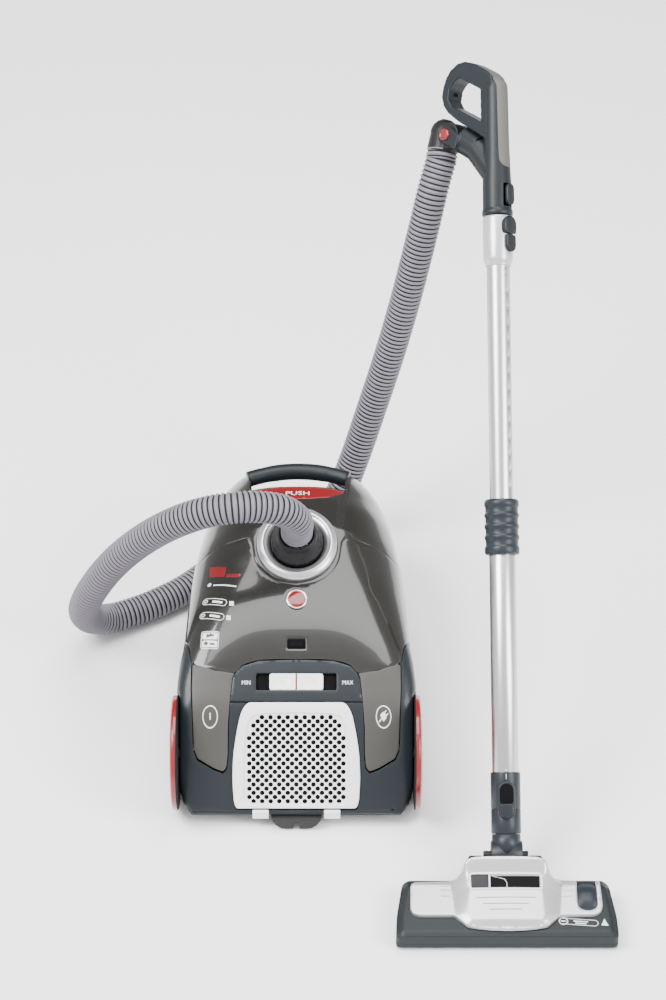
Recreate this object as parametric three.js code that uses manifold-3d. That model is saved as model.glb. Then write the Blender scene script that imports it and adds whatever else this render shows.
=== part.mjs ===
// Canister vacuum cleaner with hose, telescopic wand and floor nozzle.
// Millimetres, +Z up. The body's mid-plane is X = 0 and its rear edge is Y = 0 until the
// whole machine is centred at the end of the file.
import * as THREE from 'three';
import { mergeVertices } from 'three/addons/utils/BufferGeometryUtils.js';
import Module from 'manifold-3d';

const wasm = await Module();
wasm.setup();

// ---- driving dimensions ---------------------------------------------------------------

const GAP = 0.4;               // seam between neighbouring panels
const WALL = 5.5;              // side wall of the body
const SKIN = 4.5;              // top wall, measured straight down
const FLOOR_CLEARANCE = 20;    // underside of the body
const BODY_LENGTH = 455;
const SPLIT_Z = 118;           // where the covers meet the base on the sides

const WHEEL = { x: 144.8, y: 57, radius: 71 };
const CASTER = { y: 372, trail: 14, radius: 17 };
const CORD_OUTLET = { x: -60, y: 16 };
const INLET = { y: 270, z: 224, lean: 20, radius: 50.5 };   // lean in degrees towards the rear
const HINGE = { y: 118, z: 163 };                           // bag lid
const LID_SWING = 164.0;       // reach of the lid's side seam from its hinge

const NECK = new THREE.Vector3(253.5, -88.9, 48);           // nozzle tilt axis
const WAND_LEAN = 48;          // degrees from vertical
const WAND_SIDE_LEAN = -0.48;  // degrees
const HANDLE_TURN = -42;       // grip plane, degrees about the wand
const LOWER_TUBE = 16;         // outer radii
const UPPER_TUBE = 14.3;
const CONNECTOR = 18;
const HOSE_RADIUS = 20;

// Body shape: each row is a distance from the rear edge and a value there.
const HALF_WIDTH = [[0, 128], [10, 138], [30, 144], [60, 147], [110, 148], [140, 146], [170, 142],
  [230, 139], [260, 137], [300, 133], [340, 127], [380, 119], [405, 112], [430, 101], [446, 86], [455, 62]];
const TOP = [[0, 24], [40, 80], [80, 131], [104, 147], [128, 161], [200, 196], [230, 207], [265, 222],
  [300, 232], [330, 233], [372, 226], [400, 220], [430, 211], [445, 199], [453, 183], [455, 165]];
const SHOULDER = [[0, 20], [40, 52], [80, 84], [128, 98], [205, 108], [265, 112], [380, 112], [455, 100]];
const SQUARENESS = [[0, 7], [90, 7], [135, 5.5], [205, 3.6], [265, 2.8], [455, 2.6]];
const STATIONS = [0, 4, 12, 40, 80, 104, 128, 154, 180, 205, 230, 265, 300, 335, 372, 400, 418,
  430, 440, 448, 453, 455];

// ---- materials --------------------------------------------------------------------------

const finish = (color, roughness, metalness = 0) =>
  new THREE.MeshStandardMaterial({ color, roughness, metalness });

const paint = {
  cover: finish(0x484642, 0.16),
  base: finish(0x3b4a53, 0.35),
  panel: finish(0x37424c, 0.3),
  pedal: finish(0x6c6a66, 0.4),
  handle: finish(0x2c363e, 0.4),
  red: finish(0xa0282a, 0.2),
  white: finish(0xe9e9ea, 0.35),
  silver: finish(0xc3c4c8, 0.28, 0.8),
  aluminium: finish(0xb9bbbd, 0.32, 1),
  nozzle: finish(0x3a444b, 0.42),
  pearl: finish(0xd6d6da, 0.25, 0.3),
  black: finish(0x1b1b1d, 0.5),
  hose: finish(0x77737c, 0.5),
  inlay: finish(0x7b7873, 0.6),
  rubber: finish(0x202124, 0.85),
  smoke: finish(0x16181b, 0.08),
  paper: finish(0xd9cfb8, 0.95),
  foam: finish(0x50545a, 0.95),
  motor: finish(0x8d9094, 0.4, 0.7),
  board: finish(0x2f6b41, 0.6),
  cord: finish(0x17181a, 0.55),
};

// ---- small geometry helpers -------------------------------------------------------------

const rad = THREE.MathUtils.degToRad;
const v3 = (x, y, z) => new THREE.Vector3(x, y, z);

// Straight-line or smooth lookup in a [position, value] list.
function lookup(list, at) {
  const last = list.length - 1;
  if (at <= list[0][0]) return list[0][1];
  if (at >= list[last][0]) return list[last][1];
  const i = list.findIndex((row) => row[0] > at) - 1;
  const slope = (k) => (list[k + 1][1] - list[k][1]) / (list[k + 1][0] - list[k][0]);
  const tangent = (k) => {
    if (k === 0) return slope(0);
    if (k === last) return slope(last - 1);
    const [a, b] = [slope(k - 1), slope(k)];
    return a * b <= 0 ? 0 : (2 * a * b) / (a + b);
  };
  const span = list[i + 1][0] - list[i][0];
  const t = (at - list[i][0]) / span;
  return (2 * t ** 3 - 3 * t ** 2 + 1) * list[i][1] + (t ** 3 - 2 * t ** 2 + t) * span * tangent(i)
    + (3 * t ** 2 - 2 * t ** 3) * list[i + 1][1] + (t ** 3 - t ** 2) * span * tangent(i + 1);
}

// A watertight manifold from a three.js geometry, whichever way its faces were wound.
function solid(geometry) {
  const bare = geometry.clone();
  bare.deleteAttribute('normal');
  bare.deleteAttribute('uv');
  const merged = mergeVertices(bare, 1e-4);
  const points = merged.attributes.position;
  const index = Array.from(merged.index.array);
  const [a, b, c] = [v3(), v3(), v3()];
  let volume = 0;
  for (let i = 0; i < index.length; i += 3) {
    a.fromBufferAttribute(points, index[i]);
    b.fromBufferAttribute(points, index[i + 1]);
    c.fromBufferAttribute(points, index[i + 2]);
    volume += a.dot(b.cross(c));
  }
  if (volume < 0) {
    for (let i = 0; i < index.length; i += 3) [index[i], index[i + 1]] = [index[i + 1], index[i]];
  }
  return new wasm.Manifold(new wasm.Mesh({
    numProp: 3,
    vertProperties: new Float32Array(points.array),
    triVerts: new Uint32Array(index),
  }));
}

function box(x0, x1, y0, y1, z0, z1) {
  const shape = new THREE.BoxGeometry(x1 - x0, y1 - y0, z1 - z0);
  return solid(shape.translate((x0 + x1) / 2, (y0 + y1) / 2, (z0 + z1) / 2));
}

// A cylinder or cone between two points.
function rod(from, to, radius, segments = 24, endRadius = radius) {
  const along = v3().subVectors(to, from);
  const shape = new THREE.CylinderGeometry(endRadius, radius, along.length(), segments);
  shape.translate(0, along.length() / 2, 0);
  shape.applyQuaternion(new THREE.Quaternion().setFromUnitVectors(v3(0, 1, 0), along.normalize()));
  return solid(shape.translate(from.x, from.y, from.z));
}

const rodX = (x0, x1, y, z, radius, segments) => rod(v3(x0, y, z), v3(x1, y, z), radius, segments);
const rodZ = (x, y, z0, z1, radius, segments) => rod(v3(x, y, z0), v3(x, y, z1), radius, segments);

// A flat outline [[x, y], ...] raised from z0 to z1.
function prism(outline, z0, z1) {
  const shape = new THREE.Shape(outline.map(([x, y]) => new THREE.Vector2(x, y)));
  const raised = new THREE.ExtrudeGeometry(shape, { depth: z1 - z0, bevelEnabled: false });
  return solid(raised.translate(0, 0, z0));
}

// An outline in the Y-Z plane run along X.
function prismX(outline, x0, x1) {
  const raised = prism(outline, x0, x1);
  return raised.transform([0, 1, 0, 0, 0, 0, 1, 0, 1, 0, 0, 0, 0, 0, 0, 1]);
}

// A profile [[radius, height], ...] turned about Z.
function turned(profile, segments = 32) {
  const points = profile.map(([r, z]) => new THREE.Vector2(r, z));
  return solid(new THREE.LatheGeometry(points, segments).rotateX(Math.PI / 2));
}

const ring = (inner, outer, z0, z1, segments) =>
  turned([[inner, z0], [outer, z0], [outer, z1], [inner, z1], [inner, z0]], segments);

const mirrored = (outline) => [...outline, ...outline.filter(([x]) => x !== 0)
  .map(([x, y]) => [-x, y]).reverse()];

// Moves every edge of a closed outline outwards (or inwards when negative).
function grown(outline, amount) {
  const count = outline.length;
  let area = 0;
  outline.forEach(([x, y], i) => {
    const [nx, ny] = outline[(i + 1) % count];
    area += x * ny - nx * y;
  });
  const side = Math.sign(area) * amount;
  return outline.map(([x, y], i) => {
    const [px, py] = outline[(i + count - 1) % count];
    const [qx, qy] = outline[(i + 1) % count];
    const before = new THREE.Vector2(y - py, px - x).normalize();
    const after = new THREE.Vector2(qy - y, x - qx).normalize();
    const miter = before.clone().add(after);
    miter.multiplyScalar(side / Math.max(0.35, miter.dot(before)));
    return [x + miter.x, y + miter.y];
  });
}

const assembly = new THREE.Group();
assembly.name = 'vacuum_cleaner';

function add(parent, name, shape, material) {
  const { vertProperties, triVerts } = shape.getMesh();
  const geometry = new THREE.BufferGeometry();
  geometry.setAttribute('position', new THREE.BufferAttribute(new Float32Array(vertProperties), 3));
  geometry.setIndex(new THREE.BufferAttribute(new Uint32Array(triVerts), 1));
  geometry.computeVertexNormals();
  const mesh = new THREE.Mesh(geometry, material);
  mesh.name = name;
  parent.add(mesh);
  return mesh;
}

// ---- body shell -------------------------------------------------------------------------

// One cross-section of the body, going round from the lower right edge over the top.
function section(y, side, top, bottom) {
  const width = lookup(HALF_WIDTH, y) - side;
  const shoulder = lookup(SHOULDER, y);
  const crown = Math.max(lookup(TOP, y) - top, shoulder + 0.5);
  const power = 2 / lookup(SQUARENESS, y);
  const floor = FLOOR_CLEARANCE + bottom;
  const edge = Math.min(18, Math.max(0.2, shoulder - floor));
  const points = [[width - 10, floor], [width, floor + edge]];
  const steps = 6;
  for (let i = 0; i <= 2 * steps; i += 1) {
    const angle = (Math.PI / 2) * (i / steps);
    const across = Math.sign(Math.cos(angle)) * Math.abs(Math.cos(angle)) ** power;
    const up = Math.abs(Math.sin(angle)) ** power;
    const z = Math.max(shoulder, floor + edge) + 0.2;
    points.push([width * (i === steps ? 0 : across), z + (crown - z) * (i % (2 * steps) ? up : 0)]);
  }
  points.push([-width, floor + edge], [10 - width, floor]);
  return points;
}

function loft(rows, positions) {
  const size = rows[0].length;
  const vertices = rows.flatMap((row, k) => row.flatMap(([x, z]) => [x, positions[k], z]));
  const index = [];
  for (let k = 0; k < rows.length - 1; k += 1) {
    for (let i = 0; i < size; i += 1) {
      const [a, b] = [k * size + i, k * size + ((i + 1) % size)];
      index.push(a, b, a + size, b, b + size, a + size);
    }
  }
  for (const k of [0, rows.length - 1]) {
    const flat = rows[k].map(([x, z]) => new THREE.Vector2(x, z));
    for (const [a, b, c] of THREE.ShapeUtils.triangulateShape(flat, [])) {
      const corner = [a, b, c].map((i) => k * size + i);
      index.push(...(k === 0 ? corner.reverse() : corner));
    }
  }
  const geometry = new THREE.BufferGeometry();
  geometry.setAttribute('position', new THREE.BufferAttribute(new Float32Array(vertices), 3));
  geometry.setIndex(index);
  return solid(geometry);
}

const bodyLoft = (side, top, bottom, stations) =>
  loft(stations.map((y) => section(y, side, top, bottom)), stations);

// The hand space between the carrying handle and the body.
const HAND_SPACE = [[375, 260], [375, 186], [392, 154], [480, 146], [480, 260]];
const handSpace = (extra) => prismX(grown(HAND_SPACE, extra), -62 - extra, 62 + extra);

const outer = bodyLoft(0, 0, 0, STATIONS).subtract(handSpace(0));
const innerStations = [9, ...STATIONS.filter((y) => y > 20 && y < 446), 450];
const inner = bodyLoft(WALL, SKIN, 3.5, innerStations).subtract(handSpace(3.5));
const shell = outer.subtract(inner);

// A slab that follows the top of the body, from 'from' to 'to' below its surface.
const topSlab = (from, to) => outer.translate([0, 0, -from]).subtract(outer.translate([0, 0, -to]));

// Plan outlines of the panels.
const lineB = [[0, 129.5], [46, 128], [66, 122.5], [75, 114.5], [101, 118], [126, 127.5], [133, 152],
  [142, 178], [150, 186], [170, 186]];
const lineA = [[0, 217.5], [27, 223.5], [43.5, 236], [52.5, 251.5], [55, 266], [57.5, 277], [63, 281.5],
  [73, 281], [109, 280], [170, 286]];
const COVER = mirrored([...lineB, [170, 480], [0, 480]].reverse());
const LID = mirrored([...lineB, ...[...lineA].reverse()].reverse());
const PANEL = mirrored([[0, 128.9], [46, 127.4], [66, 121.9], [74.8, 113.8], [78, 108.4], [80.9, 83.6],
  [0, 83.6]]);
const PEDAL = [[75.8, 113.8], [78.6, 108.6], [81.6, 82], [83.8, 62], [84, 42], [85.8, 32.5], [90, 29.5],
  [101, 32], [121, 39.5], [125.8, 46.5], [128.6, 100], [128.4, 126], [125.8, 127.1], [101, 117.6]];
const GRILLE = mirrored([[0, 83], [60, 83], [68, 73.5], [73.6, 57], [77.3, 42.5], [78.4, 24], [76.7, 8],
  [73.6, 3], [0, 3]]);
const GRILLE_FACE = mirrored([[0, 76], [54, 76], [61, 69], [65, 55], [68, 43], [69, 25], [67, 11],
  [0, 11]]);
const rectangle = (x0, x1, y0, y1) => [[x0, y0], [x1, y0], [x1, y1], [x0, y1]];
const SLOT = rectangle(-50, 50, 95, 114);
const SLIDER = rectangle(-33, 33, 95.5, 113.5);
const FINGER_DIP = rectangle(8, 29, 98, 111);
const LID_WINDOW = rectangle(-12, 12, 141, 153);
const BUTTON = mirrored([[0, 346], [16, 346], [40, 352], [56, 366], [60, 373], [0, 373]]);
const flip = (outline) => outline.map(([x, y]) => [-x, y]);

const onInlet = (shape) => shape.rotate([INLET.lean, 0, 0]).translate([0, INLET.y, INLET.z]);
const inletBore = INLET.radius + GAP;
const inletHole = onInlet(turned([[0, -40], [inletBore, -40], [inletBore, 40], [0, 40]], 36));

// Base tub: everything below the covers, opened for the pedals, grille and panel.
const coverZone = prism(grown(COVER, 0.3), SPLIT_Z, 320);
const alongAxle = (side, x0, x1, radius, segments) =>
  rodX(side * x0, side * x1, WHEEL.y, WHEEL.radius, radius, segments);
const wheelWell = (side) => alongAxle(side, WHEEL.x - 0.6, 170, WHEEL.radius + 1.5, 48);
const casterBoss = rodZ(0, CASTER.y, 22, 62, 40, 28);
const casterWell = rodZ(0, CASTER.y, 0, 54, 36, 28);
const bulkhead = bodyLoft(WALL - 1, SKIN + 4, 3, [196, 199.5])
  .subtract(box(-150, 150, 190, 205, 117, 260))
  .subtract(box(-60, 60, 190, 205, 56, 108));
let base = shell.subtract(coverZone).add(casterBoss).add(bulkhead)
  .subtract(casterWell)
  .subtract(rodZ(0, CASTER.y, 50, 70, 5.4, 16))
  .subtract(prism(grown(GRILLE, GAP), 22.2, 180).subtract(outer.translate([0, 0, -9])))
  .subtract(prism(grown(PANEL, 0.6), 60, 200))
  .subtract(prism(grown(PEDAL, 0.6), 30, 200))
  .subtract(prism(grown(flip(PEDAL), 0.6), 30, 200));
for (const side of [-1, 1]) {
  base = base.subtract(wheelWell(side)).subtract(alongAxle(side, 130, 150, 6.4, 20));
}
base = base.subtract(rodZ(CORD_OUTLET.x, CORD_OUTLET.y, 10, 40, 7, 16));
// Room for the foot of the grille door as it swings down.
base = base.subtract(box(-76, 76, 5.5, 9.8, 23.6, 32));
add(assembly, 'base_shell', base, paint.base);

const cover = shell.intersect(prism(grown(COVER, -0.1), SPLIT_Z + GAP, 320));
// Below the hinge the lid's front seam bends back, so that it swings clear of the front cover.
const beyondSwing = (radius) => box(-160, 160, 250, 300, 100, HINGE.z)
  .subtract(rodX(-170, 170, HINGE.y, HINGE.z, radius, 128));
const lidZone = prism(LID, 60, 320).subtract(beyondSwing(LID_SWING));
const besideLid = cover.intersect(prism(grown(LID, GAP + 0.2), 60, 320))
  .intersect(beyondSwing(LID_SWING + 0.6));
const frontCover = cover.subtract(prism(grown(LID, GAP), 60, 320))
  .add(besideLid)
  .subtract(inletHole)
  .subtract(prism(grown(BUTTON, GAP), 195, 320));
add(assembly, 'front_cover', frontCover, paint.cover);

const windowHole = (extra) => prism(grown(LID_WINDOW, extra), 140, 200);
const lid = cover.intersect(lidZone)
  .subtract(windowHole(GAP))
  .subtract(rodZ(0, 200, 191.5, 230, 13.4, 24));
add(assembly, 'bag_lid', lid, paint.cover);
add(assembly, 'lid_window', topSlab(0.5, 3.5).intersect(windowHole(0)), paint.smoke);
add(assembly, 'lid_badge', rodZ(0, 200, 191.9, 198.4, 13, 24), paint.silver);

// Control panel with the power slider running in its slot.
const panelShape = topSlab(0, 11).intersect(prism(PANEL, 60, 220))
  .subtract(topSlab(-5, 8.5).intersect(prism(SLOT, 60, 220)));
add(assembly, 'control_panel', panelShape, paint.panel);
const slider = topSlab(-0.5, 7.8).intersect(prism(SLIDER, 60, 220))
  .subtract(topSlab(-2, 1.2).intersect(prism(FINGER_DIP, 60, 220)))
  .subtract(topSlab(-2, 1.2).intersect(prism(flip(FINGER_DIP), 60, 220)));
add(assembly, 'power_slider', slider, paint.white);

for (const [name, outline] of [['rewind_pedal', PEDAL], ['power_pedal', flip(PEDAL)]]) {
  add(assembly, name, topSlab(0.3, 6.5).intersect(prism(outline, 30, 200)), paint.pedal);
}

// Exhaust grille: a framed door with open slots, hinged along its lower edge.
let grille = topSlab(-2.2, 5).intersect(prism(GRILLE, -20, 160));
grille = grille.subtract(topSlab(-5, -1).intersect(prism(GRILLE_FACE, -20, 160)));
// The inner edge is relieved at the lower corners, so that the door swings clear of the tub.
for (const side of [-1, 1]) {
  const corner = rectangle(side * 71.5, side * 82, 0, 40);
  grille = grille.subtract(topSlab(1, 12).intersect(prism(corner, -20, 160)));
}
const VENT = { rows: 7, first: 14, pitch: 8.8, height: 4.4, reach: 60 };
for (let row = 0; row < VENT.rows; row += 1) {
  const y = VENT.first + row * VENT.pitch;
  const reach = VENT.reach - row;
  for (const x of [-reach, 2]) {
    grille = grille.subtract(box(x, x + reach - 2, y, y + VENT.height, 10, 180));
  }
}
add(assembly, 'exhaust_grille', grille, paint.white);

// Release button at the front, with the bar that carries its push to the lid latch.
add(assembly, 'release_button', topSlab(-0.8, 7).intersect(prism(BUTTON, 195, 320)), paint.red);
const latchBar = box(56, 64, 286, 362, 196, 200).add(box(56, 64, 352, 362, 196, 208))
  .add(box(56, 64, 286, 292, 196, 206));
add(assembly, 'release_bar', latchBar, paint.black);

// Carrying handle: a round bar on a shallow arc between the two front shoulders.
const HANDLE = { reach: 61.6, y: 430, z: 202.5, bow: 12, rise: 2, radius: 10.2 };
class Arc extends THREE.Curve {
  getPoint(t) {
    const across = 2 * t - 1;
    const drop = across ** 2;
    return v3(HANDLE.reach * across, HANDLE.y - HANDLE.bow * drop, HANDLE.z - HANDLE.rise * drop);
  }
}
const circle = (radius, sides) => new THREE.Shape(Array.from({ length: sides }, (_, i) => {
  const angle = (2 * Math.PI * i) / sides;
  return new THREE.Vector2(radius * Math.cos(angle), radius * Math.sin(angle));
}));
const swept = (outline, path, steps) =>
  solid(new THREE.ExtrudeGeometry(outline, { steps, extrudePath: path, bevelEnabled: false }));
const handleBar = swept(circle(HANDLE.radius, 12), new Arc(), 10)
  .intersect(box(-HANDLE.reach, HANDLE.reach, 380, 480, 150, 250));
add(assembly, 'carry_handle', handleBar, paint.handle);

// Inlet: ring, duct, swivelling hose cuff.
const ringShape = turned([[33, -6], [INLET.radius, -6], [INLET.radius, 2], [48, 5.5], [42, 7], [36.5, 5.5],
  [33, 1], [33, -6]], 36);
add(assembly, 'inlet_ring', onInlet(ringShape), paint.silver);
const duct = ring(28.5, 31.5, -34, -7, 28).add(ring(28.5, 46, -10, -6.4, 28));
add(assembly, 'inlet_duct', onInlet(duct), paint.black);
const cuffShape = turned([[23, -30], [28, -30], [28, -2], [32.4, -2], [32.4, 9], [29, 15], [25.5, 21],
  [24.5, 30], [23, 30], [23, -30]], 28);
add(assembly, 'hose_cuff', onInlet(cuffShape), paint.black);

// ---- inside the body --------------------------------------------------------------------

const bagHolder = box(-100, 100, 235, 325, 172, 175)
  .subtract(rodZ(0, 282, 170, 178, 22, 24))
  .add(ring(22, 26, 0, 8, 24).translate([0, 282, 174.9]));
add(assembly, 'bag_holder', bagHolder, paint.white);
const BAG = { halfWidth: 104, halfHeight: 50, z: 118, sides: 16 };
const softCorner = (value) => Math.sign(value) * Math.abs(value) ** 0.6;
const bagRows = [0, 0.12, 0.3, 0.5, 0.7, 0.88, 1].map((t) => {
  const swell = Math.sin(Math.PI * (0.12 + 0.76 * t)) ** 0.5;
  return Array.from({ length: BAG.sides }, (_, i) => {
    const angle = (2 * Math.PI * i) / BAG.sides;
    const across = softCorner(Math.cos(angle));
    const up = softCorner(Math.sin(angle));
    return [BAG.halfWidth * swell * across, BAG.z + BAG.halfHeight * swell * up];
  });
});
add(assembly, 'dust_bag', loft(bagRows, [212, 226, 250, 280, 312, 344, 366]), paint.paper);
add(assembly, 'motor_filter', box(-64, 64, 200, 205, 52, 112), paint.foam);

const MOTOR = { y: 138, z: 80, radius: 42, blades: 7 };
const onMotor = (x0, x1, radius, segments) => rodX(x0, x1, MOTOR.y, MOTOR.z, radius, segments);
const motorCan = onMotor(6, 96, MOTOR.radius, 28)
  .subtract(onMotor(62, 90, MOTOR.radius - 4, 28))
  .subtract(onMotor(80, 99, 17, 20))
  .subtract(onMotor(40, 70, 4.6, 12));
add(assembly, 'motor_housing', motorCan, paint.motor);
let impeller = onMotor(66, 68.5, 34, 24).add(onMotor(46, 78, 4, 12));
for (let i = 0; i < MOTOR.blades; i += 1) {
  const blade = box(-8, 8, 3, 32, -1, 1).rotate([(360 * i) / MOTOR.blades, 0, 0]);
  impeller = impeller.add(blade.translate([76.2, MOTOR.y, MOTOR.z]));
}
add(assembly, 'impeller', impeller, paint.aluminium);

const REEL = { y: 141, z: 80, flange: 48, hub: 20, winding: 40 };
const onReel = (x0, x1, radius, segments) => rodX(x0, x1, REEL.y, REEL.z, radius, segments);
const reel = onReel(-104, -100.5, REEL.flange, 28)
  .add(onReel(-60, -56.5, REEL.flange, 28))
  .add(onReel(-101, -60, REEL.hub, 24))
  .subtract(onReel(-110, -50, 5.4, 16));
add(assembly, 'cord_reel', reel, paint.white);
const winding = onReel(-100.1, -60.4, REEL.winding, 24).subtract(onReel(-110, -50, REEL.hub + GAP, 24));
add(assembly, 'reel_winding', winding, paint.cord);
const spindle = onReel(-108, -50, 5, 16).add(box(-53, -49, REEL.y - 8, REEL.y + 8, 27, REEL.z + 4));
add(assembly, 'reel_spindle', spindle, paint.motor);
const hepa = topSlab(12, 34).intersect(box(-54, 60, 36, 82, 24, 160));
add(assembly, 'hepa_filter', hepa, paint.paper);
const board = box(-44, 96, 44, 84, 25, 27)
  .add(box(-30, 10, 50, 70, 26.5, 34))
  .add(box(30, 60, 56, 78, 26.5, 36));
add(assembly, 'power_board', board, paint.board);
const outletBush = rodZ(CORD_OUTLET.x, CORD_OUTLET.y, 19, 23, 6.6, 16)
  .subtract(rodZ(CORD_OUTLET.x, CORD_OUTLET.y, 10, 30, 4, 12));
add(assembly, 'cord_outlet', outletBush, paint.black);

// Parking clip below the grille, slotted for the rib on the nozzle.
const clip = prism([[-32, -7], [32, -7], [27, 2], [-27, 2]], 2, 19.6)
  .subtract(box(-3.5, 3.5, -10, -1.5, 0, 30)).subtract(box(-14, 14, -4, 4, 0, 15));
add(assembly, 'parking_clip', clip, paint.black);

// ---- wheels -----------------------------------------------------------------------------

for (const [label, side] of [['left', -1], ['right', 1]]) {
  const disc = (a, b, radius, segments) => alongAxle(side, WHEEL.x + a, WHEEL.x + b, radius, segments);
  const cone = (a, b, from, to) => rod(v3(side * (WHEEL.x + a), WHEEL.y, WHEEL.radius),
    v3(side * (WHEEL.x + b), WHEEL.y, WHEEL.radius), from, 40, to);
  const axle = alongAxle(side, 128, 148.5, 6, 20).add(alongAxle(side, 126, 137, 10, 20));
  add(assembly, `axle_${label}`, axle, paint.motor);
  const tyre = disc(0, 4.4, WHEEL.radius, 48).subtract(disc(-3, 4, 6.4, 20));
  add(assembly, `wheel_${label}`, tyre, paint.rubber);
  const cap = cone(4.8, 8, WHEEL.radius - 0.6, 68).add(cone(8, 10, 68, 56));
  add(assembly, `wheel_cap_${label}`, cap, paint.red);
}
const fork = rodZ(0, CASTER.y, 47, 51, 30, 28).add(rodZ(0, CASTER.y, 50, 66, 5, 16));
const cheeks = prismX([[CASTER.y - 22, 13], [CASTER.y - 6, 13], [CASTER.y + 12, 48],
  [CASTER.y - 18, 48]], -15, 15).subtract(box(-11, 11, 300, 420, 0, 47));
const onCaster = (reach, radius, segments) =>
  rodX(-reach, reach, CASTER.y - CASTER.trail, CASTER.radius, radius, segments);
add(assembly, 'caster_fork', fork.add(cheeks).add(onCaster(15, 3, 12)), paint.black);
const casterTyre = onCaster(10.4, CASTER.radius, 28).subtract(onCaster(12, 3.4, 12));
add(assembly, 'caster_wheel', casterTyre, paint.rubber);

// ---- wand, in a frame whose Z runs up the tube ---------------------------------------------

const wand = new THREE.Group();
wand.position.copy(NECK);
wand.rotation.set(rad(-WAND_LEAN), rad(WAND_SIDE_LEAN), 0);
assembly.add(wand);

const lowerTube = ring(14.8, LOWER_TUBE, 58, 376, 28);
add(wand, 'lower_tube', lowerTube, paint.aluminium);
const latchHousing = box(-11.5, 11.5, -22.5, -15, 43, 88).subtract(rodZ(0, 0, 20, 110, 17, 28));
const connector = ring(LOWER_TUBE + GAP, CONNECTOR, 56, 99, 28)
  .add(ring(13, CONNECTOR, 25.4, 57.5, 28))
  .add(latchHousing)
  .subtract(box(-9, 9, -24, -17.6, 43.5, 61));
add(wand, 'tube_connector', connector, paint.handle);
add(wand, 'connector_latch', box(-8.6, 8.6, -23.2, -20, 43.9, 60.6), paint.panel);

// Telescopic lock: the ringed sleeve slides a little along the lower tube.
const sleeve = [[16.5, 362], [20, 362], [21.2, 364]];
for (let i = 0; i < 4; i += 1) {
  const z = 371 + i * 13.4;
  sleeve.push([21.2, z], [20, z + 2], [20, z + 8], [21.2, z + 11]);
}
sleeve.push([21.2, 426], [20, 429], [16.5, 429], [16.5, 362]);
add(wand, 'lock_sleeve', turned(sleeve, 20), paint.handle);
const upper = new THREE.Group();
upper.rotation.z = rad(HANDLE_TURN);
wand.add(upper);

// The upper tube's grip-side face carries the notches that the lock drops into.
let upperTube = ring(13.1, UPPER_TUBE, 340, 742, 28);
for (let z = 440; z < 700; z += 20) {
  upperTube = upperTube.subtract(box(13.6, 16, -3, 3, z, z + 7));
}
add(upper, 'upper_tube', upperTube, paint.aluminium);
const collarBore = UPPER_TUBE + GAP;
const collarBody = turned([[collarBore, 716], [15.6, 716], [18.2, 724], [18.2, 778], [collarBore, 778],
  [collarBore, 716]], 28);
const collar = collarBody
  .add(box(14.8, 22.5, -11, 11, 742, 776).subtract(rodZ(0, 0, 700, 800, 16, 28)))
  .subtract(box(16.4, 25, -8.4, 8.4, 730, 754));
add(upper, 'wand_collar', collar, paint.pearl);
add(upper, 'collar_latch', box(18.9, 23, -8, 8, 732, 753.6), paint.handle);

// Handle: sleeve with grip, D-shaped loop and the arm that leads down to the hose.
const LOOP = [[4, 930], [6, 942], [4, 952], [-4, 960], [-24, 972], [-38, 977], [-50, 976], [-62, 969],
  [-69, 960], [-74, 948], [-76, 938], [-73, 926], [-66, 916], [-50, 903], [-20, 884], [-12, 878],
  [0, 878]];
const EYE = [[-56, 954], [-48, 958], [-14, 938], [-14, 897], [-44, 915], [-60, 924], [-65.5, 934],
  [-63, 946]];
const inPlane = (outline, thickness) => {
  const raised = prism(outline, -thickness / 2, thickness / 2);
  return raised.transform([1, 0, 0, 0, 0, 0, 1, 0, 0, -1, 0, 0, 0, 0, 0, 1]);
};
// A piece of round bar in the grip plane, from one [across, along] point to the next.
const bar = ([u0, t0], [u1, t1], from, to, segments = 28) =>
  rod(v3(u0, 0, t0), v3(u1, 0, t1), from, segments, to);
const gripBar = bar([0, 779], [0, 785.7], 19, 19)
  .add(bar([0, 785.6], [0, 816], 18, 18))
  .add(bar([0, 815.8], [0, 862], 18, 15.6))
  .add(bar([0, 861.8], [0, 938], 15.6, 14.6))
  .add(solid(new THREE.SphereGeometry(14.6, 24, 12)).translate([0, 0, 938]));
const arm = bar([-2, 832], [-30, 868], 17, 17, 24).add(bar([-29, 867], [-50, 882], 17, 18, 24));
const PIVOT = { u: -66, t: 888 };
const cheek = (n0, n1, radius) => rod(v3(PIVOT.u, n0, PIVOT.t), v3(PIVOT.u, n1, PIVOT.t), radius, 24);
const cheekPlates = inPlane([[-66, 877], [-50, 868], [-44, 884], [-60, 898]], 40)
  .subtract(inPlane(rectangle(-80, -30, 860, 910), 31.2));
const handle = gripBar.add(inPlane(LOOP, 27)).add(arm)
  .subtract(inPlane(EYE, 60))
  .subtract(rodZ(0, 0, 775, 830, UPPER_TUBE + 0.5, 28))
  .subtract(cheek(-15.3, 15.3, 19.6))
  .add(cheek(-20, -15.6, 11))
  .add(cheek(15.6, 20, 11))
  .add(cheekPlates)
  .subtract(cheek(-40, 40, 4.4))
  .subtract(box(14, 25, -7, 7, 789.5, 817.5));
add(upper, 'handle_grip', handle, paint.handle);
const inlayRod = (extra) => bar([0, 848], [0, 862], 16.4 + extra, 15.6 + extra)
  .add(bar([0, 861.8], [0, 936], 15.6 + extra, 14.6 + extra));
const inlay = inlayRod(2).subtract(inlayRod(0.8)).subtract(box(-40, 3, -40, 40, 800, 960));
add(upper, 'grip_inlay', inlay, paint.inlay);
add(upper, 'handle_latch', box(16.8, 22.6, -6.5, 6.5, 790, 817), paint.panel);
add(upper, 'pivot_cap', cheek(-23, -20.4, 6.8), paint.red);
add(upper, 'pivot_pin', cheek(-20, 20, 4), paint.motor);

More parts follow.
